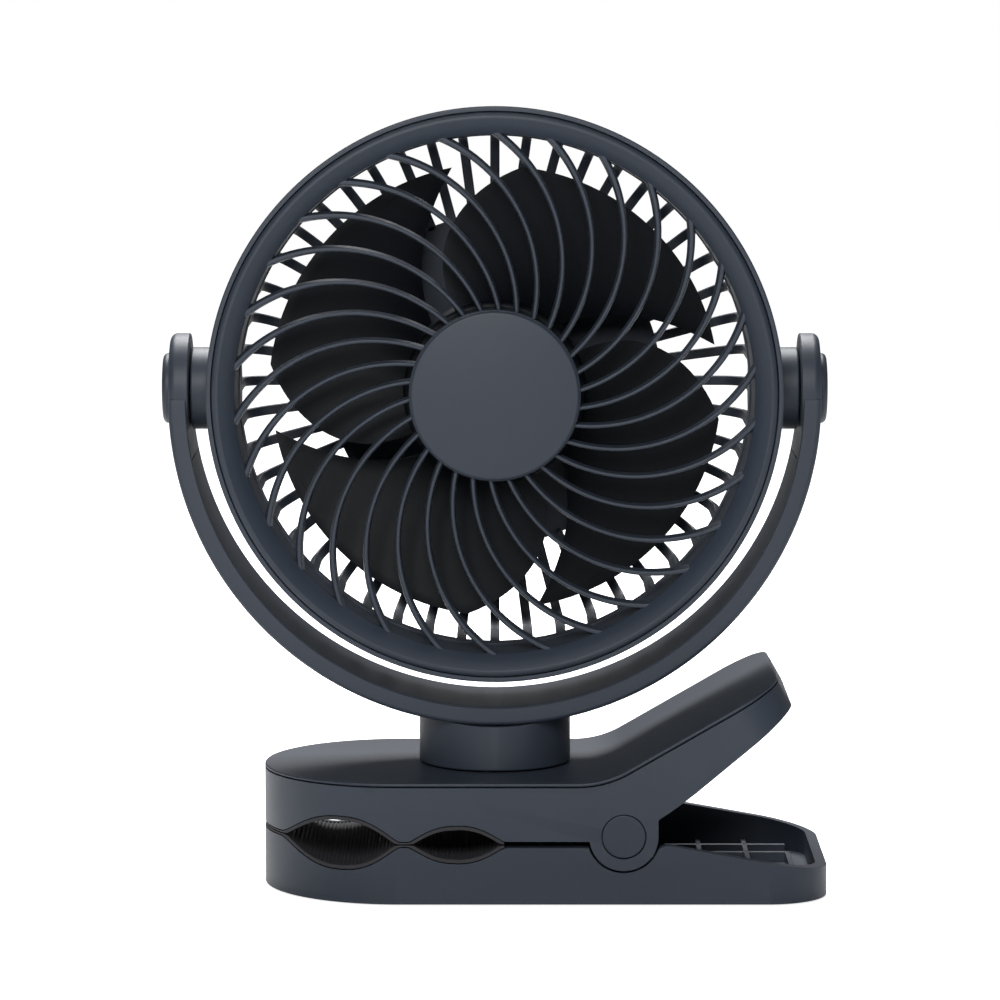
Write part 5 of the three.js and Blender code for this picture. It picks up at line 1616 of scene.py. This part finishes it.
@dataclass
class Impeller:
    """The impeller: a cup-shaped hub and swept, twisted blades."""

    pivot_z: float
    blade_count: int = 4
    tip_radius: float = 58.8
    thickness: float = 1.4
    tip_angle: float = 11
    root_lag: float = 34
    span_root: float = 71
    span_tip: float = 72
    pitch_depth: float = 14
    hub_radius: float = 23.8
    hub_front: float = -14
    hub_rear: float = 4.5
    hub_wall: float = 1.8
    hub_edge: float = 1.5
    lead_power: float = 1.05
    trail_power: float = 2.1
    tip_flatter: float = 0.15
    camber: float = 1.6
    rear_gap: float = 3
    edge_share: float = 0.35
    edge_power: float = 0.4
    tip_share: float = 0.55
    grid: tuple[int, int] = (28, 32)

    def blade_point(self, outwards: float, across: float) -> Point3:
        """Gives a point of the blade's middle skin.

        Args:
            outwards: 0 at the hub, 1 at the tip.
            across: 0 at the pointed edge, 1 at the round one.

        Returns:
            Radius, angle in radians and depth.
        """
        root = self.hub_radius - self.hub_wall / 2
        first = self.tip_angle + self.root_lag * (1 - outwards) ** self.lead_power
        whole = self.root_lag + self.span_root
        last = self.tip_angle + whole - (whole - self.span_tip) * outwards**self.trail_power
        depth = self.pitch_depth * (1 - self.tip_flatter * outwards)
        bulge = self.camber * math.sin(math.pi * across) * (1 - outwards / 2)
        angle = math.radians(first + (last - first) * across)
        y = self.hub_rear - self.rear_gap - depth * across - bulge
        return (root + (self.tip_radius - root) * outwards, angle, y)

    def build_blade(self) -> Piece:
        """Makes one blade, thin at its edges and thicker along its middle.

        Returns:
            The first blade, about the fan's axis.
        """
        rows, columns = self.grid
        rings = []
        for i in range(rows + 1):
            front, rear = [], []
            for j in range(columns + 1):
                radius, angle, y = self.blade_point(i / rows, j / columns)
                middle = math.sin(math.pi * j / columns) ** self.edge_power
                taper = self.edge_share + (1 - self.edge_share) * middle
                half = self.thickness / 2 * taper * (self.tip_share if i == rows else 1)
                x, z = radius * math.cos(angle), radius * math.sin(angle)
                front.append((x, y - half, z))
                rear.append((x, y + half, z))
            rings.append([*front, *reversed(rear)])
        return soften(loft("blade", rings), 0, angle=50)

    def build(self) -> Piece:
        """Makes the whole impeller.

        Returns:
            The piece.
        """
        radius, front, rear = self.hub_radius, self.hub_front, self.hub_rear
        roof, inner = front + self.hub_wall, radius - self.hub_wall
        edge = corner(radius, front, self.hub_edge, Side.LOW, 8)
        profile = [(0, front), *edge, (radius, rear), (inner, rear), (inner, roof), (0, roof)]
        hub = soften(lathe("impeller_hub", profile, Axis.Y, 128), 0)
        blades = repeat_round("blades", self.build_blade(), self.blade_count, Axis.Y)
        return move(merge("blade_wheel", [hub, blades]), z=self.pivot_z)

    def make(self) -> None:
        """Builds and dresses the impeller."""
        dress(self.build(), "impeller", "dark_plastic", BLADE, "impeller")


# ---- Studio ----


@dataclass
class Studio:
    """Floor, light and camera."""

    elevation: float = 6.5
    distance: float = 1250
    aim: Point3 = (1.36, 0, 101.4)
    focal: float = 171
    sensor: float = 36
    floor_half: float = 3000
    floor_glow: float = 0.78
    white_from: Point2 = (0.25, 0.9)
    backdrop_from: Point2 = (-0.35, 0.55)
    room_glow: float = 0.05
    mirror_glow: float = 0.10
    mirror_floor: float = 0.15
    floor_colour: Point3 = (0.86, 0.86, 0.86)
    floor_roughness: float = 0.9
    clip_end: float = 20
    lamps: tuple[tuple[str, Point3, float, float], ...] = (
        ("front_lamp", (-120, -980, 600), 460, 10.4), ("top_lamp", (-60, 480, 860), 600, 18.0),
    )

    def build_floor(self) -> None:
        """Makes the pale floor, which keeps the object's shadow and is white where nothing shades it."""
        half = self.floor_half
        corners = [(-half, -half, 0), (half, -half, 0), (half, half, 0), (-half, half, 0)]
        floor = mesh_piece("floor", corners, [(0, 1, 2, 3)])
        material = bpy.data.materials.new("pale_floor")
        material.use_nodes = True
        tree = material.node_tree
        path = tree.nodes.new("ShaderNodeLightPath").outputs
        mirrored = times(tree, path["Is Glossy Ray"], self.mirror_floor)
        seen = math_node(tree, "MAXIMUM", path["Is Camera Ray"], mirrored)
        length = tree.nodes.new("ShaderNodeVectorMath")
        length.operation = "LENGTH"
        feed(tree, length.inputs[0], tree.nodes.new("ShaderNodeTexCoord").outputs["Object"])
        glow = range_node(tree, length.outputs["Value"], self.white_from, (self.floor_glow, 1))
        feed_all(tree, tree.nodes["Principled BSDF"], {
            "Base Color": (*self.floor_colour, 1), "Roughness": self.floor_roughness,
            "Specular IOR Level": 0.0, "Emission Color": (1, 1, 1, 1),
            "Emission Strength": times(tree, seen, glow),
        })
        floor.data.materials.append(material)

    def build_world(self) -> None:
        """Makes the surroundings: white to the camera, almost dark to everything else."""
        world = bpy.data.worlds.new("studio")
        bpy.context.scene.world = world
        world.use_nodes = True
        tree = world.node_tree
        path = tree.nodes.new("ShaderNodeLightPath").outputs
        split = tree.nodes.new("ShaderNodeSeparateXYZ")
        feed(tree, split.inputs[0], tree.nodes.new("ShaderNodeTexCoord").outputs["Generated"])
        behind = range_node(tree, split.outputs["Y"], self.backdrop_from, (0, self.mirror_glow), smooth=True)
        clear = math_node(tree, "MAXIMUM", path["Is Camera Ray"], path["Is Transmission Ray"])
        seen = math_node(tree, "MAXIMUM", clear, times(tree, path["Is Glossy Ray"], behind))
        strength = plus(tree, self.room_glow, times(tree, seen, 1 - self.room_glow))
        feed_all(tree, tree.nodes["Background"], {"Color": (1, 1, 1, 1), "Strength": strength})

    def lamp(self, name: str, at: Point3, size: float, watts: float) -> None:
        """Hangs one soft square lamp that faces the object.

        Args:
            name: The lamp's name.
            at: Its place, in millimetres.
            size: Its side, in millimetres.
            watts: Its power.
        """
        light = bpy.data.lights.new(name, "AREA")
        light.energy = watts
        light.size = size * MM
        holder = add_object(name, light)
        holder.location = Vector(at) * MM
        toward = Vector(self.aim) * MM - holder.location
        holder.rotation_euler = toward.to_track_quat("-Z", "Y").to_euler()

    def build_camera(self) -> None:
        """Makes the camera at the photograph's angle and frame."""
        data = bpy.data.cameras.new("camera")
        data.sensor_width = self.sensor
        data.lens = self.focal
        data.clip_end = self.clip_end
        camera = add_object("camera", data)
        tilt = math.radians(self.elevation)
        back = Vector((0, -math.cos(tilt), math.sin(tilt))) * self.distance
        camera.location = (Vector(self.aim) + back) * MM
        camera.rotation_euler = (math.pi / 2 - tilt, 0, 0)
        bpy.context.scene.camera = camera

    def make(self) -> None:
        """Builds the whole studio."""
        self.build_floor()
        self.build_world()
        for lamp in self.lamps:
            self.lamp(*lamp)
        self.build_camera()
        bpy.context.scene.view_settings.view_transform = "Standard"


# ---- Assembly ----


def dress_plain_nodes() -> None:
    """Gives every CAD node that stays visible its own finish, or else that of its slot."""
    slot_of = {entry["node"]: entry["material_slot"] for entry in frame["record"]["subparts"]}
    for name, node in frame["nodes"].items():
        material = NODE_FINISH.get(name, SLOT_FINISH[slot_of[name]]).material()
        node.data.materials.clear()
        node.data.materials.append(material)


def main() -> None:
    """Builds every sub-assembly in order, then the studio."""
    logging.basicConfig(level=logging.INFO, format="%(name)s: %(message)s")
    low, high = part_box("pivot_cap_left")
    pivot_z = (low.z + high.z) / 2 / MM
    form = ClipForm()
    dress_plain_nodes()
    parts = [make(form) for make in (LowerJaw, UpperJaw)]
    parts += [make(pivot_z) for make in (Neck, Yoke, Grille, Basket, Impeller)]
    for part in parts:
        part.make()
    Studio().make()


if __name__ == "__main__":
    main()
